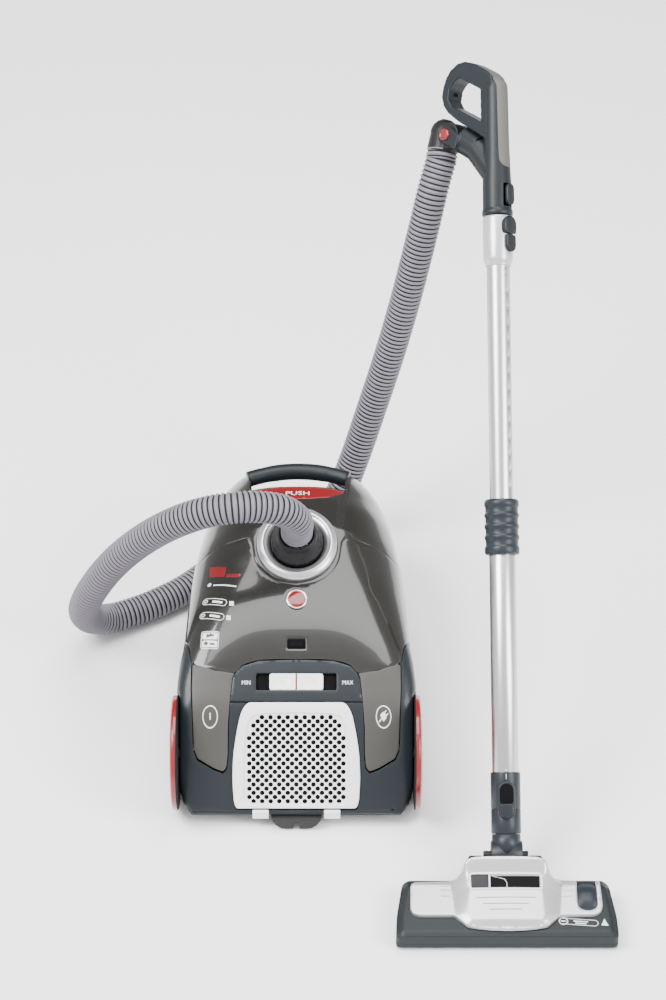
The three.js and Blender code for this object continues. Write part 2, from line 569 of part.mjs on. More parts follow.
// Knuckle at the hose end: a swivelling elbow between the arm's cheeks.
const DOME = [-82, 895];
const HOSE_EXIT = [-86.6, 873];
const knuckle = cheek(-15, 15, 16.5)
  .add(bar([PIVOT.u, PIVOT.t], [-81, 895], 13.6, 16.6, 20))
  .add(solid(new THREE.SphereGeometry(18, 18, 12)).translate([DOME[0], 0, DOME[1]]))
  .add(bar(DOME, HOSE_EXIT, 18, 20, 24))
  .subtract(cheek(-30, -15.1, 12))
  .subtract(cheek(15.1, 30, 12))
  .subtract(cheek(-40, 40, 4.4));
add(upper, 'knuckle_cuff', knuckle, paint.black);

// ---- floor nozzle -----------------------------------------------------------------------

const nozzle = new THREE.Group();
nozzle.position.set(251.5, -195, 0);
assembly.add(nozzle);

const TILT = { y: 106.1, z: 48 };   // neck axis
const ROLLER = { y: 92, radius: 8.6 };
const alongTilt = (x0, x1, radius, segments) => rodX(x0, x1, TILT.y, TILT.z, radius, segments);
const alongRollers = (x0, x1, radius, segments) => rodX(x0, x1, ROLLER.y, ROLLER.radius, radius, segments);

const baseProfile = [[0, 4.6], [0, 23], [5, 28], [72, 33], [82, 28], [82, 4.6]];
const basePlan = [[-132, -1], [132, -1], [131, 30], [123, 83], [-123, 83], [-131, 30]];
const nozzleBody = prismX(baseProfile, -140, 140).intersect(prism(basePlan, 0, 60))
  .subtract(box(-124, 124, 6, 74, 0, 24))
  .subtract(box(-16, 16, 70, 90, 9, 24))
  .subtract(box(84, 108.4, 31.6, 75.4, 20, 60));
const neckLug = [[80, 9], [98, 20], [118, 40], [118, 54], [100, 56], [80, 32]];
const rollerLug = [[80, 6], [98, 6], [98, 16], [80, 24]];
const nozzleFrame = nozzleBody
  .add(prismX(neckLug, -25, -20.4))
  .add(prismX(neckLug, 22.4, 27))
  .add(prismX(rollerLug, -49, -46))
  .add(prismX(rollerLug, 46, 49))
  .subtract(alongTilt(-40, 40, 5.5, 16))
  .subtract(alongRollers(-60, 60, 2.5, 10));
add(nozzle, 'nozzle_base', nozzleFrame, paint.nozzle);

const SOLE = [[-131, 1], [131, 1], [130, 30], [122.4, 81], [-122.4, 81], [-130, 30]];
const sole = prism(SOLE, 0, 4.2)
  .subtract(box(-100, 100, 30, 52, -1, 9))
  .subtract(box(-116, 116, 11, 17, -1, 9));
add(nozzle, 'sole_plate', sole, paint.silver);

// The pedal rocks the brush through a slot in the sole.
const rockerArm = box(92, 100, 18, 52, 11.9, 14).add(box(92, 100, 46, 52, 13.9, 28));
const brush = box(-115.4, 115.4, 12.4, 16, 0.4, 12).add(box(-118, 118, 9, 19, 11.9, 14)).add(rockerArm);
add(nozzle, 'brush_strip', brush, paint.black);
const pedalProfile = [[33, 29.4], [42, 38.4], [54, 40.4], [70.5, 36.4], [70.5, 28.6]];
add(nozzle, 'floor_pedal', prismX(pedalProfile, 84.4, 108), paint.handle);

const humpProfile = [[5, 29.4], [20, 36], [45, 45], [70, 52], [86, 58], [89, 55], [89, 44], [84, 38],
  [70, 34.6], [5, 28.6]];
const humpPlan = [[-44, 2], [44, 2], [49, 22], [45, 56], [66, 70], [66, 73], [38, 98], [38, 104],
  [-38, 104], [-38, 98], [-66, 73], [-66, 70], [-45, 56], [-49, 22]];
const wingPlan = [[-112, 22], [-60, 20], [-44, 8], [44, 8], [60, 20], [111, 22], [112, 72], [60, 74],
  [-60, 74], [-112, 72]];
const wingProfile = [[0, 28.2], [72, 33.6], [72, 37.8], [0, 32.4]];
const hump = prismX(humpProfile, -60, 60).intersect(prism(humpPlan, 0, 90));
const wings = prism(wingPlan, 28, 40).intersect(prismX(wingProfile, -120, 120));
const nozzleCover = hump.add(wings)
  .subtract(box(-43.5, 41.5, 49, 75, 20, 80))
  .subtract(box(83.6, 108.8, 31.2, 80, 0, 80))
  .subtract(alongTilt(-22.2, 22.2, 19.5, 28))
  .subtract(box(-25.5, -19, 79.5, 120, 0, 56.5))
  .subtract(box(19, 27.5, 79.5, 120, 0, 56.5));
add(nozzle, 'nozzle_cover', nozzleCover, paint.pearl);
const pane = prismX([[49.5, 41.5], [74.5, 48.5], [74.5, 51.5], [49.5, 44.5]], -43, 41);
add(nozzle, 'nozzle_window', pane, paint.smoke);
for (const [name, x] of [['roller_left', -37], ['roller_right', 37]]) {
  const roller = alongRollers(x - 8, x + 8, ROLLER.radius, 20).add(alongRollers(x - 13, x + 13, 2, 10));
  add(nozzle, name, roller, paint.rubber);
}

// Neck: an elbow that tilts on the nozzle and swivels in the wand's connector.
const neck = rodX(-19.8, 19.8, 0, 0, 17.5, 24).subtract(rodX(-30, 30, 0, 0, 5.6, 16))
  .add(rodZ(0, 0, 12, 25, 17, 28))
  .add(ring(9, 12.6, 20, 48, 24))
  .subtract(rodZ(0, 0, 18, 60, 9, 20));
add(wand, 'nozzle_neck', neck, paint.panel);
add(nozzle, 'neck_pin', alongTilt(-26, 28, 5, 16), paint.motor);

// ---- hose -------------------------------------------------------------------------------

// Hand-laid: out of the cuff, over to the left, down to the floor, round the front of the body and
// up to the knuckle at the handle.
const HOSE_ROUTE = [[0, 259.6, 252.6], [0, 248, 284], [-18, 236, 312], [-46, 228, 325], [-78, 223, 328],
  [-110, 225, 319], [-142, 232, 299], [-174, 243, 269], [-205, 255, 232], [-232, 266, 192],
  [-254, 277, 150], [-270, 289, 109], [-277, 304, 72], [-270, 322, 42], [-250, 339, 25],
  [-220, 355, 20.7], [-186, 374, 20.7], [-155, 396, 20.7], [-134, 416, 20.7], [-114, 438, 20.7],
  [-92, 464, 20.7], [-58, 486, 20.7], [-16, 500, 22], [24, 509, 38], [52, 517, 80], [72, 526, 135],
  [95, 534, 218], [118, 540, 307], [136, 546, 385], [150, 553, 452], [161, 562, 505], [170, 574, 546],
  [180.6, 591.6, 582]];
const hoseLine = new THREE.CatmullRomCurve3(HOSE_ROUTE.map((p) => v3(...p)), false, 'centripetal');
add(assembly, 'hose', swept(circle(HOSE_RADIUS, 8), hoseLine, 64), paint.hose);

// ---- origin: middle of the footprint, on the floor, measured without the hose ------------------

assembly.updateMatrixWorld(true);
const bounds = new THREE.Box3();
assembly.traverse((node) => {
  if (node.isMesh && node.name !== 'hose') bounds.expandByObject(node, true);
});
const middle = bounds.getCenter(v3());
assembly.position.set(-middle.x, -middle.y, -bounds.min.z);

export default assembly;
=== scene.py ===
import math

import bmesh
import bpy
import numpy as np
from mathutils import Matrix, Vector
from mathutils.bvhtree import BVHTree
from mathutils.geometry import delaunay_2d_cdt


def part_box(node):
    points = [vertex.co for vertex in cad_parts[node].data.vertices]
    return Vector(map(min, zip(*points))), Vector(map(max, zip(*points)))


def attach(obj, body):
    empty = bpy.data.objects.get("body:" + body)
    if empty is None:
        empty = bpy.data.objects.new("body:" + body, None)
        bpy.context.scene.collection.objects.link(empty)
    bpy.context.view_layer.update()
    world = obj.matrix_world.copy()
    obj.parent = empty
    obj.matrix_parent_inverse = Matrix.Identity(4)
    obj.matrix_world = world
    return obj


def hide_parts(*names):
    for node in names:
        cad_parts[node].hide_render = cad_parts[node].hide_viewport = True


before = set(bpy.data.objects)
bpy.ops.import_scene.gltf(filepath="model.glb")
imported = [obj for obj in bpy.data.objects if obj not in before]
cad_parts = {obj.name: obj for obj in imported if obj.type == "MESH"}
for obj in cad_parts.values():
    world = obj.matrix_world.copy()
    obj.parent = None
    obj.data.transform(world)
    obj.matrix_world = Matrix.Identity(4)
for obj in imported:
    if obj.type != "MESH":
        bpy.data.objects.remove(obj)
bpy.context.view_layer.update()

# The row frame's origin seen from the machine's own: X from the body's middle, Y from its rear edge.
base_low, base_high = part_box("base_shell")
MIDDLE_X = (base_low.x + base_high.x) / 2
REAR_Y = base_low.y
MM = 0.001


def at(x, y, z):
    """A point in the row frame from machine millimetres."""
    return Vector((MIDDLE_X + x * MM, REAR_Y + y * MM, z * MM))


# ---- camera ----------------------------------------------------------------------------------

camera_data = bpy.data.cameras.new("camera")
camera = bpy.data.objects.new("camera", camera_data)
bpy.context.scene.collection.objects.link(camera)
bpy.context.scene.camera = camera
CAMERA_TILT = 47.7
camera.location = (-0.0693, -2.7036, 2.790)
camera.rotation_euler = (math.radians(CAMERA_TILT), 0, 0)
camera_data.lens = 108
camera_data.sensor_width = 36
camera_data.clip_end = 50

# ---- materials -------------------------------------------------------------------------------


def material(name, color, rough=0.4, metal=0.0, coat=0.0, coat_rough=0.06, grain=0.0,
             grain_scale=900.0, spots=0.0, specular=0.5, stretch=(1, 1, 1)):
    """A Principled surface with an optional fine procedural grain."""
    m = bpy.data.materials.new(name)
    m.use_nodes = True
    tree = m.node_tree
    shader = tree.nodes["Principled BSDF"]
    shader.inputs["Base Color"].default_value = (*color, 1)
    shader.inputs["Roughness"].default_value = rough
    shader.inputs["Metallic"].default_value = metal
    shader.inputs["Coat Weight"].default_value = coat
    shader.inputs["Coat Roughness"].default_value = coat_rough
    shader.inputs["Specular IOR Level"].default_value = specular
    if grain or spots:
        place = tree.nodes.new("ShaderNodeTexCoord")
        scale = tree.nodes.new("ShaderNodeMapping")
        scale.inputs["Scale"].default_value = stretch
        tree.links.new(place.outputs["Object"], scale.inputs["Vector"])
        noise = tree.nodes.new("ShaderNodeTexNoise")
        noise.inputs["Scale"].default_value = grain_scale
        noise.inputs["Detail"].default_value = 3
        tree.links.new(scale.outputs["Vector"], noise.inputs["Vector"])
        if grain:
            bump = tree.nodes.new("ShaderNodeBump")
            bump.inputs["Strength"].default_value = grain
            bump.inputs["Distance"].default_value = 0.0004
            tree.links.new(noise.outputs["Fac"], bump.inputs["Height"])
            tree.links.new(bump.outputs["Normal"], shader.inputs["Normal"])
        if spots:
            spread = tree.nodes.new("ShaderNodeMapRange")
            spread.inputs["To Min"].default_value = max(0.02, rough - spots)
            spread.inputs["To Max"].default_value = rough + spots
            tree.links.new(noise.outputs["Fac"], spread.inputs["Value"])
            tree.links.new(spread.outputs["Result"], shader.inputs["Roughness"])
    return m


COVER = material("cover", (0.016, 0.0155, 0.014), 0.16, coat=0.5, coat_rough=0.03, spots=0.02, grain_scale=60,
                 specular=0.3)
BASE = material("base", (0.0112, 0.0148, 0.0185), 0.34, coat=0.12, coat_rough=0.12, spots=0.04,
                grain_scale=90, specular=0.25)
PANEL = material("panel", (0.0106, 0.0142, 0.0178), 0.32, coat=0.12, coat_rough=0.1, spots=0.04,
                 grain_scale=90, specular=0.25)
PEDAL = material("pedal", (0.052, 0.050, 0.046), 0.45, grain=0.25, grain_scale=1400, specular=0.25)
HANDLE = material("handle", (0.0078, 0.0106, 0.0132), 0.4, grain=0.15, grain_scale=1500, specular=0.25)
SLEEVE = material("sleeve", (0.0135, 0.018, 0.0225), 0.36, grain=0.1, grain_scale=1500, specular=0.25)
RED = material("red", (0.18, 0.007, 0.009), 0.22, coat=0.5, coat_rough=0.04, specular=0.3)
RED_LENS = material("red_lens", (0.17, 0.006, 0.008), 0.12, coat=0.8, coat_rough=0.02, specular=0.3)
WHITE = material("white", (0.82, 0.82, 0.83), 0.34, coat=0.2, coat_rough=0.1)
MARK = material("mark", (0.70, 0.71, 0.72), 0.5)
SILVER = material("silver", (0.56, 0.56, 0.58), 0.3, metal=0.85, grain=0.1, grain_scale=1600)
CHROME = material("chrome", (0.80, 0.80, 0.82), 0.07, metal=1.0)
ALUMINIUM = material("aluminium", (0.54, 0.54, 0.55), 0.3, metal=1.0, spots=0.08, grain=0.06,
                     grain_scale=500, stretch=(6, 1, 1))
PEARL = material("pearl", (0.48, 0.48, 0.50), 0.28, metal=0.5, coat=0.3, coat_rough=0.08)
NOZZLE = material("nozzle", (0.0102, 0.0132, 0.0150), 0.45, grain=0.15, grain_scale=1200, specular=0.25)
BLACK = material("black", (0.007, 0.007, 0.008), 0.45, grain=0.1, grain_scale=1200, specular=0.25)
HOSE = material("hose", (0.155, 0.147, 0.170), 0.5, grain=0.1, grain_scale=1500, specular=0.3)
# Painted shade: near-black for the faces in the hose's grooves, where the grey hose lies in shade.
HOSE_GROOVE_SHADE = material("hose_groove_shade", (0.009, 0.0085, 0.010), 0.7, specular=0.2)
INLAY = material("inlay", (0.085, 0.083, 0.077), 0.62, grain=0.3, grain_scale=1900, specular=0.25)
RUBBER = material("rubber", (0.007, 0.007, 0.008), 0.7, grain=0.3, grain_scale=1000, specular=0.25)
SMOKE = material("smoke", (0.002, 0.002, 0.0025), 0.2, specular=0.04)
# Near-black: painted shade in the slider slot, behind the grille holes and in the connector and screw wells;
# also the tube dots and the lid window's bar.
DARK = material("dark", (0.002, 0.002, 0.0025), 0.8, specular=0.1)
PAPER = material("paper", (0.66, 0.60, 0.46), 0.95, grain=0.6, grain_scale=700)
FOAM = material("foam", (0.085, 0.095, 0.11), 0.95, grain=1.0, grain_scale=1200)
STEEL = material("steel", (0.42, 0.43, 0.45), 0.3, metal=1.0, grain=0.1, grain_scale=1200)
BOARD = material("board", (0.02, 0.14, 0.05), 0.45, coat=0.4)
CORD = material("cord", (0.012, 0.012, 0.014), 0.5)
BRISTLE = material("bristle", (0.02, 0.02, 0.022), 0.6, grain=0.5, grain_scale=2500)

# ---- hose ------------------------------------------------------------------------------------

HOSE_POINTS = [
    (0, 259.6, 252.6), (0, 248, 284), (-18, 236, 312), (-46, 228, 325), (-78, 223, 328),
    (-110, 225, 319), (-142, 232, 299), (-174, 243, 269), (-205, 255, 232), (-232, 266, 192),
    (-254, 277, 150), (-270, 289, 109), (-277, 304, 72), (-270, 322, 42), (-250, 339, 25),
    (-220, 355, 20.7), (-186, 374, 20.7), (-155, 396, 20.7), (-134, 416, 20.7), (-114, 438, 20.7),
    (-92, 464, 20.7), (-58, 486, 20.7), (-16, 500, 22), (24, 509, 38), (52, 517, 80),
    (72, 526, 135), (95, 534, 218), (118, 540, 307), (136, 546, 385), (150, 553, 452),
    (161, 562, 505), (170, 574, 546), (180.6, 591.6, 582)]
HOSE_RADIUS = 20.0
RING_PITCH = 6.2


def spline(points, spacing):
    """Centripetal Catmull-Rom through the points, resampled at an even spacing, in their units."""
    p = [np.array(q, float) for q in points]
    p = [2 * p[0] - p[1], *p, 2 * p[-1] - p[-2]]
    fine = []
    for i in range(1, len(p) - 2):
        t = [0.0]
        for k in range(3):
            t.append(t[-1] + max(1e-9, np.linalg.norm(p[i + k] - p[i + k - 1])) ** 0.5)
        for u in np.linspace(t[1], t[2], 24, endpoint=i == len(p) - 3):
            a = [(t[k + 1] - u) / (t[k + 1] - t[k]) * p[i - 1 + k] + (u - t[k]) / (t[k + 1] - t[k]) * p[i + k]
                 for k in range(3)]
            b = [(t[k + 2] - u) / (t[k + 2] - t[k]) * a[k] + (u - t[k]) / (t[k + 2] - t[k]) * a[k + 1]
                 for k in range(2)]
            fine.append((t[2] - u) / (t[2] - t[1]) * b[0] + (u - t[1]) / (t[2] - t[1]) * b[1])
    fine = np.array(fine)
    along = np.concatenate([[0], np.cumsum(np.linalg.norm(np.diff(fine, axis=0), axis=1))])
    places = np.linspace(0, along[-1], max(2, int(round(along[-1] / spacing)) + 1))
    return np.stack([np.interp(places, along, fine[:, k]) for k in range(3)], axis=1), along[-1]


def mesh_object(name, vertices, faces, materials, face_materials=None, smooth=True):
    """A mesh from points in row-frame metres."""
    data = bpy.data.meshes.new(name)
    data.from_pydata([tuple(v) for v in vertices], [], faces)
    for m in materials if isinstance(materials, (list, tuple)) else [materials]:
        data.materials.append(m)
    if face_materials is not None:
        data.polygons.foreach_set("material_index", face_materials)
    data.polygons.foreach_set("use_smooth", [smooth] * len(data.polygons))
    data.update()
    made = bpy.data.objects.new(name, data)
    bpy.context.scene.collection.objects.link(made)
    return made


def strip_faces(rows, columns, closed=True):
    """Quads over rows of points; a closed strip joins each row's last point to its first."""
    faces = []
    for k in range(rows - 1):
        for i in range(columns if closed else columns - 1):
            j = (i + 1) % columns
            faces.append((k * columns + i, k * columns + j, (k + 1) * columns + j, (k + 1) * columns + i))
    return faces


def place(made, body, slot_name, nodes=()):
    """Ties a finished piece to its CAD body and hides the CAD nodes it stands for; slot_name is not used."""
    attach(made, body)
    if nodes:
        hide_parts(*nodes)
    return made


def tube(name, path, rings, sides, materials, pattern=None):
    """Sweeps a round section along path; rings gives the radius at each point."""
    path = np.array(path, float)
    tangents = np.gradient(path, axis=0)
    tangents /= np.linalg.norm(tangents, axis=1)[:, None]
    up = np.cross(tangents[0], [0.3, 0.9, 0.31])
    up /= np.linalg.norm(up)
    vertices = []
    for k, (centre, along) in enumerate(zip(path, tangents)):
        up = up - along * np.dot(up, along)
        up /= np.linalg.norm(up)
        side = np.cross(along, up)
        for i in range(sides):
            angle = 2 * math.pi * i / sides
            vertices.append(centre + rings[k] * (math.cos(angle) * up + math.sin(angle) * side))
    faces = strip_faces(len(path), sides)
    kinds = [pattern(k) if pattern else 0 for k in range(len(path) - 1) for _ in range(sides)]
    faces.append(tuple(reversed(range(sides))))
    faces.append(tuple(range((len(path) - 1) * sides, len(path) * sides)))
    kinds += [0, 0]
    return mesh_object(name, vertices, faces, materials, kinds)


# One ring of the hose: a ridge, then a groove whose faces get a near-black colour as painted shade.
RING_SHAPE = [1.0, 0.978, 0.915, 0.905, 0.915, 0.972]
SAMPLES = len(RING_SHAPE)
hose_line, hose_length = spline(HOSE_POINTS, RING_PITCH / SAMPLES)
hose_radii = [HOSE_RADIUS * MM * RING_SHAPE[k % SAMPLES] for k in range(len(hose_line))]
hose_path = [tuple(at(*p)) for p in hose_line]
hose = tube("ringed_hose", hose_path, hose_radii, 40, [HOSE, HOSE_GROOVE_SHADE],
            pattern=lambda k: 1 if k % SAMPLES in (2, 3) else 0)
place(hose, "canister", "hose_plastic", ["hose"])

# ---- body surface ----------------------------------------------------------------------------

# Each row is a distance from the rear edge and a value there, in millimetres.
HALF_WIDTH = [(0, 128), (10, 138), (30, 144), (60, 147), (110, 148), (140, 146), (170, 142), (230, 139),
              (260, 137), (300, 133), (340, 127), (380, 119), (405, 112), (430, 101), (446, 86), (455, 62)]
TOP = [(0, 24), (40, 80), (80, 131), (104, 147), (128, 161), (200, 196), (230, 207), (265, 222),
       (300, 232), (330, 233), (372, 226), (400, 220), (430, 211), (445, 199), (453, 183), (455, 165)]
SHOULDER = [(0, 20), (40, 52), (80, 84), (128, 98), (205, 108), (265, 112), (380, 112), (455, 100)]
SQUARENESS = [(0, 7), (90, 7), (135, 5.5), (205, 3.6), (265, 2.8), (455, 2.6)]
FLOOR_CLEARANCE = 20.0
SPLIT_Z = 118.0
LENGTH = 455.0


def lookup(rows, where):
    """Monotone smooth lookup in a [position, value] list."""
    if where <= rows[0][0]:
        return rows[0][1]
    if where >= rows[-1][0]:
        return rows[-1][1]
    i = max(k for k in range(len(rows) - 1) if rows[k][0] <= where)

    def slope(k):
        return (rows[k + 1][1] - rows[k][1]) / (rows[k + 1][0] - rows[k][0])

    def tangent(k):
        if k == 0:
            return slope(0)
        if k == len(rows) - 1:
            return slope(k - 1)
        a, b = slope(k - 1), slope(k)
        return 0.0 if a * b <= 0 else 2 * a * b / (a + b)

    span = rows[i + 1][0] - rows[i][0]
    t = (where - rows[i][0]) / span
    return ((2 * t ** 3 - 3 * t ** 2 + 1) * rows[i][1] + (t ** 3 - 2 * t ** 2 + t) * span * tangent(i)
            + (3 * t ** 2 - 2 * t ** 3) * rows[i + 1][1] + (t ** 3 - t ** 2) * span * tangent(i + 1))


sections = {}


def half_section(y):
    """The right half of the body's section at y: girth from the crown, and X and Z along it."""
    key = round(y * 4)
    if key not in sections:
        y = key / 4
        width, crown = lookup(HALF_WIDTH, y), lookup(TOP, y)
        shoulder = min(lookup(SHOULDER, y), crown - 0.5) + 0.2
        power, rise = lookup(SQUARENESS, y), crown - shoulder
        knee = 0.5 ** (1 / power)
        x1 = np.linspace(0, width * knee, 160)
        z1 = shoulder + rise * (1 - (x1 / width) ** power) ** (1 / power)
        h2 = np.linspace(rise * knee, 0, 160)[1:]
        x2 = width * (1 - (h2 / rise) ** power) ** (1 / power)
        edge = min(18.0, max(0.2, shoulder - FLOOR_CLEARANCE))
        low = np.linspace(shoulder, FLOOR_CLEARANCE + edge, 8)[1:]
        turn = np.linspace(0, math.pi / 2, 9)[1:]
        x = np.concatenate([x1, x2, np.full(len(low), width), width - 10 * (1 - np.cos(turn)), [0]])
        z = np.concatenate([z1, shoulder + h2, low, FLOOR_CLEARANCE + edge * (1 - np.sin(turn)),
                            [FLOOR_CLEARANCE]])
        girth = np.concatenate([[0], np.cumsum(np.hypot(np.diff(x), np.diff(z)))])
        sections[key] = (girth, x, z)
    return sections[key]


def surface(s, y):
    """Body surface point in machine millimetres; s is the signed girth from the crown."""
    low = math.floor(y * 4) / 4
    share = (y - low) * 4
    found = []
    for station in (low, min(low + 0.25, LENGTH)):
        girth, x, z = half_section(station)
        found.append((np.interp(abs(s), girth, x), np.interp(abs(s), girth, z)))
    x = found[0][0] * (1 - share) + found[1][0] * share
    z = found[0][1] * (1 - share) + found[1][1] * share
    return np.array([math.copysign(x, s), y, z])


def normal(s, y):
    ds = surface(s + 0.5, y) - surface(s - 0.5, y)
    dy = surface(s, min(y + 0.5, LENGTH)) - surface(s, max(y - 0.5, 0))
    n = np.cross(ds, dy)
    return n / np.linalg.norm(n)


def girth_at_x(x, y):
    """Girth where the upper surface reaches plan position x."""
    girth, xs, _ = half_section(y)
    top = int(np.argmax(xs >= xs.max() - 1e-6))
    return math.copysign(float(np.interp(min(abs(x), xs[top] * 0.9995), xs[:top + 1], girth[:top + 1])), x)


def girth_at_z(z, y):
    """Girth where the right side comes down to height z."""
    girth, _, zs = half_section(y)
    return float(np.interp(-z, -zs, girth))


def spaced(outline, step, closed=True):
    """Adds points along an outline's straight edges so that none is longer than step."""
    out = []
    count = len(outline)
    for i in range(count if closed else count - 1):
        a, b = np.array(outline[i], float), np.array(outline[(i + 1) % count], float)
        pieces = max(1, int(math.ceil(np.linalg.norm(b - a) / step)))
        out += [tuple(a + (b - a) * k / pieces) for k in range(pieces)]
    if not closed:
        out.append(tuple(outline[-1]))
    return out


def rounded(outline, radius, steps=4):
    """Rounds a closed outline's corners."""
    out = []
    count = len(outline)
    for i in range(count):
        here = np.array(outline[i], float)
        before, after = np.array(outline[i - 1], float), np.array(outline[(i + 1) % count], float)
        a, b = before - here, after - here
        la, lb = np.linalg.norm(a), np.linalg.norm(b)
        reach = min(radius, 0.45 * la, 0.45 * lb)
        if reach < 0.05:
            out.append(tuple(here))
            continue
        p, q = here + a / la * reach, here + b / lb * reach
        for k in range(steps + 1):
            t = k / steps
            out.append(tuple((1 - t) ** 2 * p + 2 * t * (1 - t) * here + t * t * q))
    return out


def grown(outline, amount):
    """Moves a closed outline outwards by amount, or inwards when it is negative."""
    pts = [np.array(p, float) for p in outline]
    count = len(pts)
    area = sum(pts[i][0] * pts[(i + 1) % count][1] - pts[(i + 1) % count][0] * pts[i][1]
               for i in range(count))
    side = math.copysign(amount, area * amount) if amount else 0
    out = []
    for i in range(count):
        a, b = pts[i] - pts[i - 1], pts[(i + 1) % count] - pts[i]
        na = np.array([a[1], -a[0]]) / max(1e-9, np.linalg.norm(a))
        nb = np.array([b[1], -b[0]]) / max(1e-9, np.linalg.norm(b))
        miter = na + nb
        out.append(tuple(pts[i] + miter * side / max(0.4, np.dot(miter, na))))
    return out


def inside(points, polygon):
    """Which points lie in a polygon, by counting crossings."""
    points = np.asarray(points, float)
    x, y = points[:, 0], points[:, 1]
    result = np.zeros(len(points), bool)
    count = len(polygon)
    for i in range(count):
        (x1, y1), (x2, y2) = polygon[i], polygon[(i + 1) % count]
        if y1 == y2:
            continue
        crosses = (y1 > y) != (y2 > y)
        result ^= crosses & (x < (x2 - x1) * (y - y1) / (y2 - y1) + x1)
    return result


def fill(outer, holes, step):
    """Triangulates a region with holes on an even grid: points, triangles and the rim loops' indices."""
    loops = [outer, *holes]
    points = []
    edges = []
    for loop in loops:
        first = len(points)
        points += [tuple(p) for p in loop]
        edges += [(first + i, first + (i + 1) % len(loop)) for i in range(len(loop))]
    low, high = np.min(outer, axis=0), np.max(outer, axis=0)
    columns = np.arange(low[0] + step * 0.5, high[0], step)
    rows = np.arange(low[1] + step * 0.5, high[1], step * 0.9)
    grid = np.array([(c + (k % 2) * step * 0.5, r) for k, r in enumerate(rows) for c in columns])
    if len(grid):
        keep = inside(grid, outer)
        for hole in holes:
            keep &= ~inside(grid, hole)
        grid = grid[keep]
        sides = [pair for loop in loops for pair in zip(loop, [*loop[1:], loop[0]])]
        middles = [((a[0] + b[0]) / 2, (a[1] + b[1]) / 2) for a, b in sides]
        rim = np.array(points + middles)
        near = np.array([np.min(np.hypot(*(rim - g).T)) > step * 0.45 for g in grid], bool)
        points += [tuple(g) for g in grid[near]]
    made = delaunay_2d_cdt([Vector(p) for p in points], edges, [], 0, 1e-5)
    where, triangles, origin = made[0], made[2], made[3]
    index = {}
    for new, olds in enumerate(origin):
        for old in olds:
            index[old] = new
    where = np.array([tuple(v) for v in where])
    centres = np.array([where[list(t)].mean(axis=0) for t in triangles])
    keep = inside(centres, outer)
    for hole in holes:
        keep &= ~inside(centres, hole)
    triangles = [list(t) for t, k in zip(triangles, keep) if k]
    rims = []
    first = 0
    for loop in loops:
        rims.append([index[first + i] for i in range(len(loop))])
        first += len(loop)
    return where, triangles, rims


def shell_panel(name, outer, holes, materials, lift=0.0, depth=4.5, edge=0.7, step=4.0, back=True, shape=None,
                bulge=None, foot=None):
    """A moulded panel that follows the body: outline and holes in (girth, y), rounded rims, walls and a back.

    With a foot its walls run down to that height instead of a set depth."""
    where, triangles, rims = fill(outer, holes, step)
    shape = shape or (lambda s, y: (surface(s, y), normal(s, y)))
    points, normals = [], []
    for s, y in where:
        p, n = shape(s, y)
        extra = bulge(s, y) if bulge else 0.0
        points.append(p + n * (lift + extra))
        normals.append(n)
    points, normals = np.array(points), np.array(normals)
    vertices = list(points)
    faces = []
    for t in triangles:
        a, b, c = points[t]
        facing = np.dot(np.cross(b - a, c - a), normals[t[0]])
        faces.append(tuple(t if facing > 0 else t[::-1]))
    back_start = None
    if back:
        back_start = len(vertices)
        vertices += list(points - normals * depth)
        faces += [tuple(back_start + i for i in reversed(f)) for f in faces[:]]
    centre_of = {}
    for t in triangles:
        for i, j, k in ((0, 1, 2), (1, 2, 0), (2, 0, 1)):
            centre_of[frozenset((t[i], t[j]))] = points[t[k]]
    for rim in rims:
        count = len(rim)
        outward = []
        inward = 0.0
        for i, v in enumerate(rim):
            a, b = points[rim[i - 1]], points[rim[(i + 1) % count]]
            out = np.cross(b - a, normals[v])
            out /= max(1e-9, np.linalg.norm(out))
            outward.append(out)
            inner = centre_of.get(frozenset((v, rim[(i + 1) % count])))
            if inner is not None:
                inward += np.dot(out, inner - points[v])
        if inward > 0:
            outward = [-out for out in outward]
        levels = [(0.45, 0.12), (0.85, 0.45), (1.0, 1.0)]
        previous = list(rim)
        for across, down in levels + [(1.0, depth / edge)]:
            first = len(vertices)
            for v, out in zip(rim, outward):
                point = points[v] + out * edge * across - normals[v] * edge * down
                if foot is not None and (across, down) == (1.0, depth / edge):
                    point[2] = foot
                vertices.append(point)
            current = [first + i for i in range(count)]
            for i in range(count):
                j = (i + 1) % count
                quad = (previous[i], previous[j], current[j], current[i])
                mid_out = outward[i] + outward[j] + 0.8 * normals[rim[i]]
                a, b, c = (vertices[q] for q in quad[:3])
                if np.dot(np.cross(b - a, c - a), mid_out) < 0:
                    quad = quad[::-1]
                faces.append(quad)
            previous = current
        if back:
            for i in range(count):
                j = (i + 1) % count
                faces.append((previous[i], previous[j], back_start + rim[j], back_start + rim[i]))
    return mesh_object(name, [at(*v) for v in vertices], faces, materials)


def plan_to_girth(outline):
    return [(girth_at_x(x, min(max(y, 0.2), LENGTH)), min(max(y, 0.2), LENGTH)) for x, y in outline]


def mirror_plan(half):
    """A closed plan outline from its right half, given from one end on the centre line to the other."""
    return [*half, *[(-x, y) for x, y in reversed(half) if abs(x) > 1e-6]]


